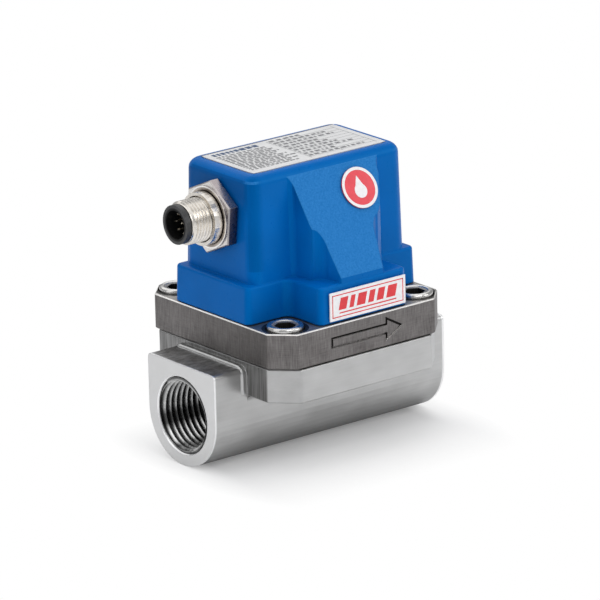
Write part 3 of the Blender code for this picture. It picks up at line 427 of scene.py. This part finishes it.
def thread_steel():
    """Tapped steel in light painted by height: painted shade below its middle height, a painted
    highlight further down.
    """
    made = Surface("thread_steel", (0.55, 0.55, 0.545), 0.3, 0.78)
    height = made.position("Z")
    fine = made.noise(1500)
    mottled = made.noise(420, roughness=0.7)
    # Painted light by height: a lighter mottled band above the middle, a band of painted shade
    # below it, a painted highlight lower down and mottled painted shade at the bottom
    upper = made.mix(made.spread(mottled, 0, 1), (0.42, 0.42, 0.416), (0.80, 0.80, 0.79))
    bottom = made.mix(made.spread(mottled, 0, 1, 0.4, 0.6), (0.16, 0.16, 0.158),
                      (0.62, 0.62, 0.61))
    colour = made.mix(made.spread(height, 0, 1, -2.2 * MM, -0.2 * MM), (0.12, 0.12, 0.119),
                      upper)
    colour = made.mix(made.spread(height, 1, 0, -6.4 * MM, -4.6 * MM), colour,
                      (1.0, 1.0, 0.99))
    colour = made.mix(made.spread(height, 1, 0, -9.3 * MM, -8.5 * MM), colour, bottom)
    # Painted shade in the roots of the thread
    root_shade = made.spread(made.distance("Y", "Z"), 0, 0.85, PORT_RADIUS - 0.95 * MM,
                       PORT_RADIUS - 0.35 * MM)
    made.set("Base Color", made.mix(root_shade, colour, (0.03, 0.03, 0.03)))
    made.gloss(fine, 0.05)
    made.bump(fine, 0.01 * MM)
    return made.material


def plate_metal():
    """Dull grey plate: fine upright grain, a painted highlight on its top edges, painted shadow
    in the arrow's grooves and round each screw.
    """
    made = Surface("plate_metal", (0.235, 0.22, 0.205), 0.46, 1.0)
    made.bevel(0.25 * MM)
    streak = made.noise((3400, 3400, 260), roughness=0.6)
    scratch = made.noise((240, 240, 5200), roughness=0.7)
    cloud = made.noise(160)
    pits = made.noise(1500, roughness=0.7)
    along = made.position("X")
    ahead = made.minus(0.0, made.position("Y"))

    # Sides with upright grain and a few scratches along it
    grain = made.plus(made.plus(made.times(streak, 0.45), made.times(scratch, 0.25)),
                      made.times(cloud, 0.3))
    side = made.mix(made.spread(grain, 0, 1, 0.36, 0.64), (0.11, 0.102, 0.10),
                    (0.28, 0.266, 0.26))

    # Arrow: its grooved lines near black in painted shadow; where they run along X in the lower
    # half, paler in painted light
    skin = -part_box("cover_plate")[0].y - ARROW_SKIN
    recessed = made.times(made.under(ahead, skin), made.over(ahead, skin - 1 * MM))
    in_arrow = made.times(recessed, made.under(made.size(along), ARROW_HALF))
    barb = made.under(made.size(made.minus(along, ARROW_NECK)), ARROW_BARB)
    lit_arrow_line = made.times(made.over(along, ARROW_TAIL), made.minus(1.0, barb))
    lit_arrow_line = made.times(lit_arrow_line, made.spread(made.position("Z"), 1, 0,
                                                  ARROW_MIDDLE - 0.8 * MM, ARROW_MIDDLE))
    low_line = made.mix(made.spread(pits, 0, 1, 0.4, 0.6), (0.09, 0.085, 0.082),
                        (0.20, 0.192, 0.187))
    line = made.mix(lit_arrow_line, (0.016, 0.015, 0.014), low_line)
    side = made.mix(in_arrow, side, line)

    # Ends that darken towards the front
    end_shade = made.times(made.square_to("X"), made.spread(ahead, 0, 0.45, -20 * MM, 26 * MM))
    side = made.mix(end_shade, side, (0.06, 0.056, 0.054))

    # Paler top with a painted highlight on its edges and a painted shadow ring round each screw
    up = made.facing("Z")
    screw = middle("cap_screw_3")
    top = made.mix(made.spread(cloud, 0, 1), (0.30, 0.285, 0.27), (0.44, 0.425, 0.41))
    # Painted shadow round each screw
    screw_shadow = made.under(made.distance("X", "Y", (screw.x, screw.y)), SCREW_SHADOW_RADIUS)
    top = made.mix(screw_shadow, top, (0.06, 0.058, 0.055))
    # Painted highlight on the slanted faces at the top's edges
    upper = made.mix(made.spread(up, 0, 1, 0.85, 0.97), (0.92, 0.90, 0.87), top)
    made.set("Base Color", made.mix(made.spread(up, 0, 1, 0.2, 0.45), side, upper))

    made.gloss(cloud, 0.06)
    made.bump(streak, 0.03 * MM)
    made.bump(pits, 0.03 * MM)
    return made.material


def blue_enamel():
    """Blue enamel, a little paler and rougher on the ramp, partly by painted light, with painted
    shade on the connector's side.
    """
    made = Surface("blue_enamel", (0.0, 0.128, 0.47), 0.33)
    made.bevel(0.6 * MM)
    cloud = made.noise(70, 2.0)
    fine = made.noise(900)
    grain = made.noise(1900, 2.0, 0.7)
    up = made.facing("Z")
    height = made.position("Z")

    # Painted shade above the skirt: the front darkens at its edge by the connector and the end by
    # the roof
    paint = made.mix(made.spread(cloud, 0, 1), (0.0, 0.119, 0.437), (0.0, 0.137, 0.503))
    front_shade = made.times(made.spread(made.facing("Y"), 1, 0, -0.5, -0.2),
                             made.spread(made.position("X"), 0.28, 0, -24.0 * MM, -21.5 * MM))
    end_shade = made.times(made.square_to("X"), made.spread(height, 0, 0.4, 52 * MM, 60 * MM))
    shade = made.times(made.math("MAXIMUM", front_shade, end_shade),
                       made.over(height, 40 * MM))
    paint = made.mix(shade, paint, (0.0, 0.03, 0.13))

    # Ramps, told by how steeply they lie, in paler grainy paint; part of the paleness is a
    # painted highlight from above
    ramp = made.times(made.spread(up, 0, 1, 0.38, 0.44), made.spread(up, 1, 0, 0.52, 0.60))
    grainy_paint_and_sheen = made.mix(made.spread(grain, 0, 1), (0.012, 0.15, 0.47), (0.030, 0.205, 0.57))
    made.set("Base Color", made.mix(ramp, paint, grainy_paint_and_sheen))

    made.gloss(fine, 0.06)
    made.bump(fine, 0.022 * MM)
    # Upright ends and the roof reflect less than the rest
    end_gloss = made.spread(made.size(made.facing("X")), 0.32, 0.12, 0.5, 0.95)
    roof_gloss = made.spread(up, 1.0, 0.45, 0.6, 0.8)
    made.set("Specular IOR Level", made.times(end_gloss, roof_gloss))
    made.set("Specular Tint", (0.03, 0.6, 1.0))
    return made.material


def black_moulding():
    """Black plastic, deeper black in painted shade and duller in the connector's cavity."""
    made = Surface("black_moulding", (0.03, 0.03, 0.031), 0.42)
    fine = made.noise(900)
    from_axis = made.distance("Y", "Z", (0.0, middle("connector_shell").z))
    # Painted shade in the connector's cavity
    cavity_shade = made.spread(made.minus(INSERT_RIM, from_axis), 0, 1, -0.15 * MM, 0.15 * MM)
    made.set("Base Color", made.mix(cavity_shade, (0.036, 0.036, 0.037), (0.009, 0.009, 0.0094)))
    made.set("Specular IOR Level", made.spread(cavity_shade, 0.5, 0.12, 0, 1))
    made.gloss(fine, 0.06)
    made.bump(fine, 0.01 * MM)
    return made.material


def bright_screw():
    """Bright steel, darker in painted shade and less metallic in the dish of the cap screws, and
    in painted shadow inside their sockets.
    """
    made = Surface("bright_screw", (0.66, 0.65, 0.63), 0.26, 1.0)
    made.bevel(0.2 * MM)
    lines = made.noise((1500, 1500, 200))
    screw, top = middle("cap_screw_3"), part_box("cap_screw_3")[1].z
    from_axis = made.distance("X", "Y", (screw.x, screw.y))
    bright = made.mix(made.spread(lines, 0, 1), (0.58, 0.57, 0.55), (0.78, 0.77, 0.75))
    # Painted shade in the dish, which is also less metallic
    dish_shade = made.spread(from_axis, 1, 0, 3.3 * MM, 3.6 * MM)
    bright = made.mix(dish_shade, bright, (0.20, 0.195, 0.19))
    made.set("Metallic", made.minus(1.0, made.times(dish_shade, 0.75)))
    # Painted shadow inside the sockets
    corner = hexagon_radius(math.radians(30), SOCKET_FLATS)
    inside = made.times(made.under(from_axis, corner + 0.06 * MM),
                        made.under(made.position("Z"), top - SOCKET_TOP + 0.04 * MM))
    made.set("Base Color", made.mix(inside, bright, (0.02, 0.019, 0.018)))
    made.gloss(lines, 0.06)
    made.bump(lines, 0.01 * MM)
    return made.material


def nickel_plate():
    """Nickel of the connector, a little cloudy."""
    made = Surface("nickel_plate", (0.80, 0.76, 0.70), 0.3, 1.0)
    made.bevel(0.12 * MM)
    fine = made.noise(1300)
    made.tint(made.noise(250, 2.0), 0.12)
    made.gloss(fine, 0.07)
    made.bump(fine, 0.008 * MM)
    return made.material


def nut_plate():
    """Nickel of the hexagon nut in painted light: side facets shaded by how they face, and a
    round face in brownish painted reflection with a painted highlight on its rim and painted
    shadow at its root.
    """
    made = Surface("nut_plate", (0.80, 0.76, 0.70), 0.3, 1.0)
    made.bevel(0.15 * MM)
    fine = made.noise(1300)
    blotch = made.noise(420, 2.0)
    collar_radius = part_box("connector_collar")[1].y
    from_axis = made.distance("Y", "Z", (0.0, middle("connector_shell").z))
    # Painted light and shade on the side facets, lighter where they face up
    flank_shading = made.mix(made.spread(made.facing("Z"), 0, 1, 0.2, 0.5), (0.10, 0.09, 0.115),
                     (0.46, 0.41, 0.41))
    # Round face: a brownish painted reflection, painted shadow at the root and a painted
    # highlight on the rim
    face = made.mix(made.spread(blotch, 0, 1), (0.26, 0.22, 0.19), (0.60, 0.54, 0.48))
    root_shade = made.spread(from_axis, 1, 0, collar_radius, collar_radius + 0.5 * MM)
    face = made.mix(root_shade, face, (0.05, 0.042, 0.036))
    rim_highlight = made.spread(from_axis, 0, 1, NUT_FACE_RADIUS - 0.55 * MM, NUT_FACE_RADIUS - 0.3 * MM)
    face = made.mix(rim_highlight, face, (1.0, 0.98, 0.95))
    corners = made.over(from_axis, NUT_FACE_RADIUS + 0.02 * MM)
    face = made.mix(corners, face, (0.80, 0.77, 0.74))
    made.set("Base Color", made.mix(made.square_to("X", 0.6, 0.9), flank_shading, face))
    made.gloss(fine, 0.07)
    made.bump(fine, 0.008 * MM)
    return made.material


def satin_sheet():
    """Sheet metal of the name plate, brushed along X."""
    made = Surface("satin_sheet", (0.82, 0.82, 0.82), 0.40, 0.5)
    lines = made.noise((60, 2400, 60))
    made.tint(lines, 0.06)
    made.gloss(lines, 0.05)
    made.bump(lines, 0.008 * MM)
    return made.material


# Meshes

def mesh_object(name, bm, look, sharp=None):
    """Object of a mesh: flat faces, or smooth ones but for edges over sharp degrees."""
    mesh = bpy.data.meshes.new(name)
    bmesh.ops.recalc_face_normals(bm, faces=bm.faces)
    bm.to_mesh(mesh)
    bm.free()
    if sharp:
        mesh.shade_smooth()
        mesh.set_sharp_from_angle(angle=math.radians(sharp))
    mesh.materials.append(look)
    made = bpy.data.objects.new(name, mesh)
    bpy.context.scene.collection.objects.link(made)
    return made


def ring_of_corners(bm, radii, height, centre=(0.0, 0.0)):
    """Corners round a centre at one height, one for each radius."""
    corners = []
    for i, radius in enumerate(radii):
        angle = 2 * math.pi * i / len(radii)
        corners.append(bm.verts.new((centre[0] + radius * math.cos(angle),
                                     centre[1] + radius * math.sin(angle), height)))
    return corners


def join_rings(bm, rings):
    """Faces between each ring of corners and the next."""
    for low, high in zip(rings, rings[1:]):
        for i in range(len(low)):
            j = (i + 1) % len(low)
            bm.faces.new((low[i], low[j], high[j], high[i]))


def thread_surface(pitch, start, end, radius_at, around):
    """Screw surface round Z between two heights; radius_at takes (ridge, height).

    The turns start below the first height and end above the second, and what lies beyond
    is pressed flat onto them and left out.
    """
    bm = bmesh.new()
    low = int(math.floor(start / pitch)) - 2
    high = int(math.ceil(end / pitch)) + 1
    steps = [(k, share) for k in range(low, high + 1) for share in RIDGE]
    columns = []
    for j in range(around + 1):
        angle = 2 * math.pi * j / around
        column = []
        for k, share in steps:
            height = min(max(pitch * (k + share + j / around), start), end)
            radius = radius_at(RIDGE[share], height)
            column.append(bm.verts.new((radius * math.cos(angle), radius * math.sin(angle),
                                        height)))
        columns.append(column)
    for left, right in zip(columns, columns[1:]):
        for i in range(len(steps) - 1):
            corners = (left[i], left[i + 1], right[i + 1], right[i])
            heights = [v.co.z for v in corners]
            if max(heights) - min(heights) > SAME_HEIGHT:
                bm.faces.new(corners)
    bmesh.ops.remove_doubles(bm, verts=bm.verts, dist=SAME_POINT)
    return bm


def port_thread(side, look):
    """Internal thread of one port, from just inside the face to the step of the bore."""
    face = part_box("pipe_body")[1].x
    mouth = face - PORT_SETBACK
    crest = PORT_RADIUS - PORT_THREAD

    def radius_at(ridge, height):
        lead = crest + max(0.0, height - mouth + PORT_LEAD) * PORT_LEAD_SLANT
        return min(max(PORT_RADIUS - PORT_THREAD * ridge, lead), PORT_RADIUS)

    bm = thread_surface(PORT_PITCH, face - PORT_LENGTH, mouth, radius_at, PORT_SIDES)
    turn = Matrix.Rotation(side * math.pi / 2, 4, "Y")
    bmesh.ops.transform(bm, matrix=turn, verts=bm.verts)
    end = "inlet" if side < 0 else "outlet"
    made = mesh_object(f"port_thread_{end}", bm, look, sharp=25)
    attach(made, BODY)


def plug_shell(look):
    """Threaded shell of the connector in place of the plain one."""
    low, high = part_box("connector_shell")
    front, back, axis = low.x, high.x, (low.z + high.z) / 2
    inside = back - PLUG_FLANGE
    thread_end = inside - PLUG_PLAIN

    def radius_at(ridge, height):
        if height > thread_end:
            return PLUG_MAJOR
        edge = PLUG_BORE + PLUG_BORE_EDGE + max(0.0, height - front)
        return min(PLUG_MINOR + (PLUG_MAJOR - PLUG_MINOR) * ridge, edge)

    bm = thread_surface(PLUG_PITCH, front, thread_end, radius_at, PLUG_SIDES)
    profile = [(PLUG_MINOR, thread_end), (PLUG_MAJOR, thread_end + PLUG_STEP),
               (PLUG_MAJOR, inside), (high.y, inside), (high.y, back), (PLUG_BORE, back),
               (PLUG_BORE, front), (PLUG_BORE + PLUG_BORE_EDGE, front)]
    join_rings(bm, [ring_of_corners(bm, [radius] * PLUG_SIDES, height)
                    for radius, height in profile])
    # Half a turn that swaps X and Z, and so lays the height along X
    for vert in bm.verts:
        vert.co = Vector((vert.co.z, -vert.co.y, vert.co.x + axis))
    made = mesh_object("threaded_shell", bm, look, sharp=25)
    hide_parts("connector_shell")
    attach(made, BODY)


def hexagon_radius(angle, flats):
    """Distance from a hexagon's centre to its edge; one flat faces angle 0."""
    step = math.pi / 3
    return flats / 2 / math.cos((angle + step / 2) % step - step / 2)


def cap_screw(number, look):
    """Socket head cap screw with a rounded rim and a dished top, in place of the plain one."""
    node = f"cap_screw_{number}"
    tip, top = (corner.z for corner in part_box(node))
    under = top - HEAD_HEIGHT
    profile = [(SHANK_RADIUS - SHANK_EDGE, tip), (SHANK_RADIUS, tip + SHANK_EDGE),
               (SHANK_RADIUS, under), (HEAD_RADIUS - HEAD_EDGE, under),
               (HEAD_RADIUS, under + HEAD_EDGE)]
    for turn in map(math.radians, range(0, 91, 15)):
        profile.append((HEAD_RADIUS - HEAD_ROUNDING * (1 - math.cos(turn)),
                        top - HEAD_ROUNDING * (1 - math.sin(turn))))
    profile += [(radius, top - depth) for radius, depth in DISH]

    socket = [hexagon_radius(2 * math.pi * i / SCREW_SIDES, SOCKET_FLATS)
              for i in range(SCREW_SIDES)]
    rows = [([radius] * SCREW_SIDES, height) for radius, height in profile]
    rows += [(socket, top - SOCKET_TOP), (socket, top - SOCKET_DEPTH)]
    bm = bmesh.new()
    rings = [ring_of_corners(bm, radii, height, middle(node).xy) for radii, height in rows]
    join_rings(bm, rings)
    bm.faces.new(rings[0][::-1])
    bm.faces.new(rings[-1])
    made = mesh_object(f"socket_screw_{number}", bm, look, sharp=32)
    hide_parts(node)
    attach(made, BODY)


# Soft pieces, copied from the nodes that they stand for

def soft_copy(frame, node, name):
    """Copy of a soft node's mesh that stands for the node."""
    made = bpy.data.objects.new(name, frame["nodes"][node].data.copy())
    bpy.context.scene.collection.objects.link(made)
    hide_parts(node)
    return made


def moving_diaphragm(frame):
    """Copy of the diaphragm, with its place baked into its mesh."""
    made = soft_copy(frame, "diaphragm", "moulded_diaphragm")
    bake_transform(made)


def moving_spring(frame):
    """Copy of the range spring, hung on the meter's body with a mesh of its own."""
    made = soft_copy(frame, "range_spring", "wound_spring")
    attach(made, BODY)
    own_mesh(made)


# Print

def flat_shapes(name, shapes, place, look, lift=PRINT_LIFT):
    """Thin shapes, each a list of (u, v) points, laid on a plane given by its frame."""
    bm = bmesh.new()
    for shape in shapes:
        bm.faces.new([bm.verts.new(place @ Vector((u, v, lift))) for u, v in shape])
    made = mesh_object(name, bm, look)
    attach(made, BODY)


def bar(u, v, width, height, slant=0.0):
    """Four-sided bar with its lower left corner at (u, v)."""
    return [(u, v), (u + width, v), (u + width + slant, v + height), (u + slant, v + height)]


def words(pick, u, v, stop, height, widths, gaps):
    """Row of bars from u to about stop, in place of words; widths and gaps in mm."""
    row = []
    while u < stop:
        width = pick.uniform(*widths) * MM
        row.append(bar(u, v, width, height))
        u += width + pick.uniform(*gaps) * MM
    return row


def circle_band(outer, inner, steps=48):
    """Band between two circles, of four-sided pieces."""
    points = [(math.cos(2 * math.pi * i / steps), math.sin(2 * math.pi * i / steps))
              for i in range(steps + 1)]
    return [[(outer * a[0], outer * a[1]), (outer * b[0], outer * b[1]),
             (inner * b[0], inner * b[1]), (inner * a[0], inner * a[1])]
            for a, b in zip(points, points[1:])]


def name_plate_print(grey, dark, pale):
    """Rows of short bars in place of words, under a wider dark heading."""
    high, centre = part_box("name_plate")[1], middle("name_plate")
    place = Matrix.Translation((centre.x, centre.y, high.z))
    right, far = high.x - centre.x, high.y - centre.y
    left, near = -right, -far
    pick = random.Random(4)

    heading, small, lines = [], [], []
    u = left + HEADING_START
    while u < left + HEADING_END:
        width = pick.uniform(0.8, 1.9) * MM
        heading.append(bar(u, far - HEADING_BELOW, width, HEADING_HEIGHT))
        u += width + HEADING_GAP
    v = far - TEXT_BELOW
    while v > near + TEXT_MARGIN:
        stop = left + pick.uniform(16, 20) * MM
        small += words(pick, left + TEXT_START, v, stop, TEXT_HEIGHT, (0.5, 2.1), (0.3, 0.6))
        v -= TEXT_STEP
    for row in range(TABLE_ROWS):
        v = far - TABLE_BELOW - row * TABLE_STEP
        lines.append(bar(left + TABLE_LEFT, v - TABLE_UNDER,
                         right - left - TABLE_LEFT - TABLE_MARGIN, TABLE_LINE))
        stop = left + pick.uniform(31, 41) * MM
        small += words(pick, left + TABLE_LEFT + TABLE_INDENT, v, stop, TABLE_HEIGHT,
                       (0.5, 1.8), (0.35, 0.9))
    for u in (left + TABLE_LEFT, left + TABLE_COLUMN, right - TABLE_MARGIN):
        lines.append(bar(u, near + TABLE_END, TABLE_LINE, far - near - 2 * TABLE_END))
    flat_shapes("plate_small_print", small, place, grey)
    flat_shapes("plate_heading", heading, place, dark)
    flat_shapes("plate_lines", lines, place, grey)

    upright = far - near - 2 * PLATE_BORDER
    far_edge = [bar(left, far - PLATE_BORDER, right - left, PLATE_BORDER)]
    border = [bar(left, near, right - left, PLATE_BORDER),
              bar(left, near + PLATE_BORDER, PLATE_BORDER, upright),
              bar(right - PLATE_BORDER, near + PLATE_BORDER, PLATE_BORDER, upright)]
    for name, shapes, look in (("plate_far_edge", far_edge, grey),
                               ("plate_border", border, pale)):
        trimmed = [[(u * PLATE_SHARE, v * PLATE_SHARE) for u, v in shape] for shape in shapes]
        flat_shapes(name, trimmed, place, look, UNDERPRINT_LIFT)


def front_label_print(red):
    """Red frame with slanted bars of different widths inside."""
    low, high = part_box("front_label")
    centre = middle("front_label")
    place = Matrix.Translation((centre.x, low.y, centre.z)) @ Matrix.Rotation(math.pi / 2, 4, "X")
    width = high.x - low.x - 2 * LABEL_MARGIN
    height = high.z - low.z - 2 * LABEL_MARGIN
    left, bottom = -width / 2, -height / 2
    shapes = [bar(left, bottom, width, LABEL_LINE),
              bar(left, -bottom - LABEL_LINE, width, LABEL_LINE),
              bar(left, bottom, LABEL_LINE, height),
              bar(-left - LABEL_LINE, bottom, LABEL_LINE, height)]
    u = left + LABEL_BAR_START
    for size in LABEL_BARS:
        shapes.append(bar(u, LABEL_BAR_LOW, size * MM, LABEL_BAR_HEIGHT, LABEL_BAR_SLANT))
        u += (size + LABEL_BAR_GAP) * MM
    shapes.append(bar(left + LABEL_RULE_INDENT, LABEL_RULE_LOW, width - 2 * LABEL_RULE_INDENT,
                      LABEL_RULE))
    flat_shapes("label_print", shapes, place, red)


def badge_print(white):
    """White rim and a plain drop on the red badge."""
    tilt = math.atan(RAMP_SLOPE)
    out = Vector((0, -math.sin(tilt), math.cos(tilt)))
    face = middle("round_badge") + out * BADGE_FACE
    place = Matrix.Translation(face) @ Matrix.Rotation(tilt, 4, "X")
    drop = []
    for i in range(DROP_POINTS):
        angle = math.radians(130 + 280 * i / (DROP_POINTS - 1))
        drop.append((DROP_RADIUS * math.cos(angle),
                     DROP_MIDDLE + DROP_RADIUS * math.sin(angle)))
    drop.append((0, DROP_TIP))
    shapes = circle_band(BADGE_RIM, BADGE_RIM_INNER) + [drop]
    flat_shapes("badge_print", shapes, place, white)


# Studio

def studio_floor():
    """White floor that takes shadows near the object and is plain white further off."""
    look = Surface("white_floor", (0.93, 0.93, 0.935), 0.45)
    look.tint(look.noise(3, 1.0), 0.004)
    look.gloss(look.noise(20, 1.0), 0.03)
    look.bump(look.noise(400, 2.0), 0.004 * MM)
    look.set("Specular IOR Level", 0.35)
    legs = []
    for axis, centre, half, steepness in SHADED:
        beyond = look.minus(look.size(look.minus(look.position(axis), centre)), half)
        legs.append(look.times(look.math("MAXIMUM", beyond, 0.0), steepness))
    share = look.spread(look.long_side(*legs), FLOOR_WHITE, 1.0, 0.0, SHADOW_REACH)
    path = look.nodes.new("ShaderNodeLightPath")
    glow = look.nodes.new("ShaderNodeEmission")
    mixed = look.nodes.new("ShaderNodeMixShader")
    look.links.new(look.times(path.outputs["Is Camera Ray"], share), mixed.inputs["Fac"])
    look.links.new(look.shader.outputs["BSDF"], mixed.inputs[1])
    look.links.new(glow.outputs["Emission"], mixed.inputs[2])
    look.links.new(mixed.outputs["Shader"], look.nodes["Material Output"].inputs["Surface"])

    bm = bmesh.new()
    bmesh.ops.create_grid(bm, x_segments=1, y_segments=1, size=FLOOR_HALF)
    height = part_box("pipe_body")[0].z - FLOOR_GAP
    bmesh.ops.translate(bm, vec=(0, 0, height), verts=bm.verts)
    mesh_object("studio_floor", bm, look.material)


def studio_world():
    """Soft grey light from all round, and a white background for the camera."""
    world = bpy.data.worlds.new("studio")
    world.use_nodes = True
    nodes, links = world.node_tree.nodes, world.node_tree.links
    room = nodes["Background"]
    room.inputs["Color"].default_value = (0.80, 0.81, 0.83, 1)
    room.inputs["Strength"].default_value = 0.42
    seen = nodes.new("ShaderNodeBackground")
    seen.inputs["Color"].default_value = (1, 1, 1, 1)
    seen.inputs["Strength"].default_value = 1.0
    path = nodes.new("ShaderNodeLightPath")
    mix = nodes.new("ShaderNodeMixShader")
    links.new(path.outputs["Is Camera Ray"], mix.inputs["Fac"])
    links.new(room.outputs["Background"], mix.inputs[1])
    links.new(seen.outputs["Background"], mix.inputs[2])
    links.new(mix.outputs["Shader"], nodes["World Output"].inputs["Surface"])
    bpy.context.scene.world = world


def studio_panels():
    """Area lights round the object, all aimed at its middle."""
    for name, place, size, power in (
        ("left_panel", (-0.75, 0.10, 0.42), (0.55, 0.7), 1.0),
        ("front_panel", (-0.10, -0.85, 0.80), (0.7, 0.5), 3.6),
        ("right_panel", (0.62, -0.70, 0.47), (0.5, 0.5), 1.6),
        ("top_panel", (0.10, 0.40, 1.00), (1.7, 1.9), 9.0),
    ):
        light = bpy.data.lights.new(name, "AREA")
        light.shape = "RECTANGLE"
        light.size, light.size_y = size
        light.energy = power
        made = bpy.data.objects.new(name, light)
        made.location = place
        aim = Vector(LIGHT_TARGET) - made.location
        made.rotation_euler = aim.to_track_quat("-Z", "Y").to_euler()
        bpy.context.scene.collection.objects.link(made)


def studio_camera():
    """Camera at the photograph's place and angle, and plain colours in its picture."""
    scene = bpy.context.scene
    right = Vector((math.cos(CAMERA_YAW), math.sin(CAMERA_YAW), 0))
    back = Vector((math.sin(CAMERA_YAW) * math.cos(CAMERA_PITCH),
                   -math.cos(CAMERA_YAW) * math.cos(CAMERA_PITCH), math.sin(CAMERA_PITCH)))
    axes = Matrix((right, back.cross(right), back)).transposed()
    turned = axes @ Matrix.Rotation(CAMERA_ROLL, 3, "Z")
    lens = bpy.data.cameras.new("camera")
    lens.lens = CAMERA_LENS
    lens.sensor_width = 36.0
    lens.clip_start, lens.clip_end = 0.05, 20.0
    camera = bpy.data.objects.new("camera", lens)
    camera.matrix_world = Matrix.Translation(CAMERA_PLACE) @ turned.to_4x4()
    scene.collection.objects.link(camera)
    scene.camera = camera
    scene.view_settings.view_transform = "Standard"


def dress(frame):
    """Give every CAD node the finish that its record slot names; the nut has its own."""
    film = 0.004 * MM
    looks = {
        "machined_steel": pipe_steel(),
        "screw_steel": bright_screw(),
        "cast_plate": plate_metal(),
        "blue_paint": blue_enamel(),
        "nickel": nickel_plate(),
        "brass": plain("turned_brass", (0.72, 0.55, 0.28), 0.3, 1.0),
        "contact_gold": plain("gold_contacts", (0.88, 0.80, 0.66), 0.3, 1.0),
        "black_plastic": black_moulding(),
        "black_rubber": plain("rubber", (0.025, 0.025, 0.027), 0.7),
        "spring_steel": plain("spring_wire", (0.5, 0.5, 0.5), 0.3, 1.0),
        "magnet": plain("magnet_plating", (0.35, 0.35, 0.37), 0.35, 1.0),
        "board_green": plain("solder_mask", (0.02, 0.2, 0.08), 0.4),
        "name_plate_silver": satin_sheet(),
        "label_white": plain("label_film", (0.94, 0.93, 0.94), 0.35, bump=film),
        "badge_red": plain("badge_film", (0.82, 0.045, 0.07), 0.35, bump=film),
    }
    nut = nut_plate()
    slots = {row["node"]: row["material_slot"] for row in frame["record"]["subparts"]}
    for name, node in frame["nodes"].items():
        node.data.materials.clear()
        node.data.materials.append(nut if name == "connector_nut" else looks[slots[name]])
    return looks


def add_print():
    """Print on the name plate, the label and the badge."""
    ink = 0.004 * MM
    name_plate_print(plain("print_grey", (0.17, 0.17, 0.18), 0.5, bump=ink),
                     plain("print_blue", (0.03, 0.07, 0.16), 0.5, bump=ink),
                     plain("print_pale", (0.72, 0.73, 0.75), 0.4, bump=ink))
    front_label_print(plain("print_red", (0.78, 0.04, 0.05), 0.4, bump=ink))
    badge_print(plain("print_white", (0.9, 0.89, 0.9), 0.35, bump=ink))


def main():
    """Load the frame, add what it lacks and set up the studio."""
    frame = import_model()
    looks = dress(frame)
    thread = thread_steel()
    for side in (-1, 1):
        port_thread(side, thread)
    plug_shell(looks["nickel"])
    for number in range(1, 5):
        cap_screw(number, looks["screw_steel"])
    moving_diaphragm(frame)
    moving_spring(frame)
    add_print()
    studio_floor()
    studio_world()
    studio_panels()
    studio_camera()


main()
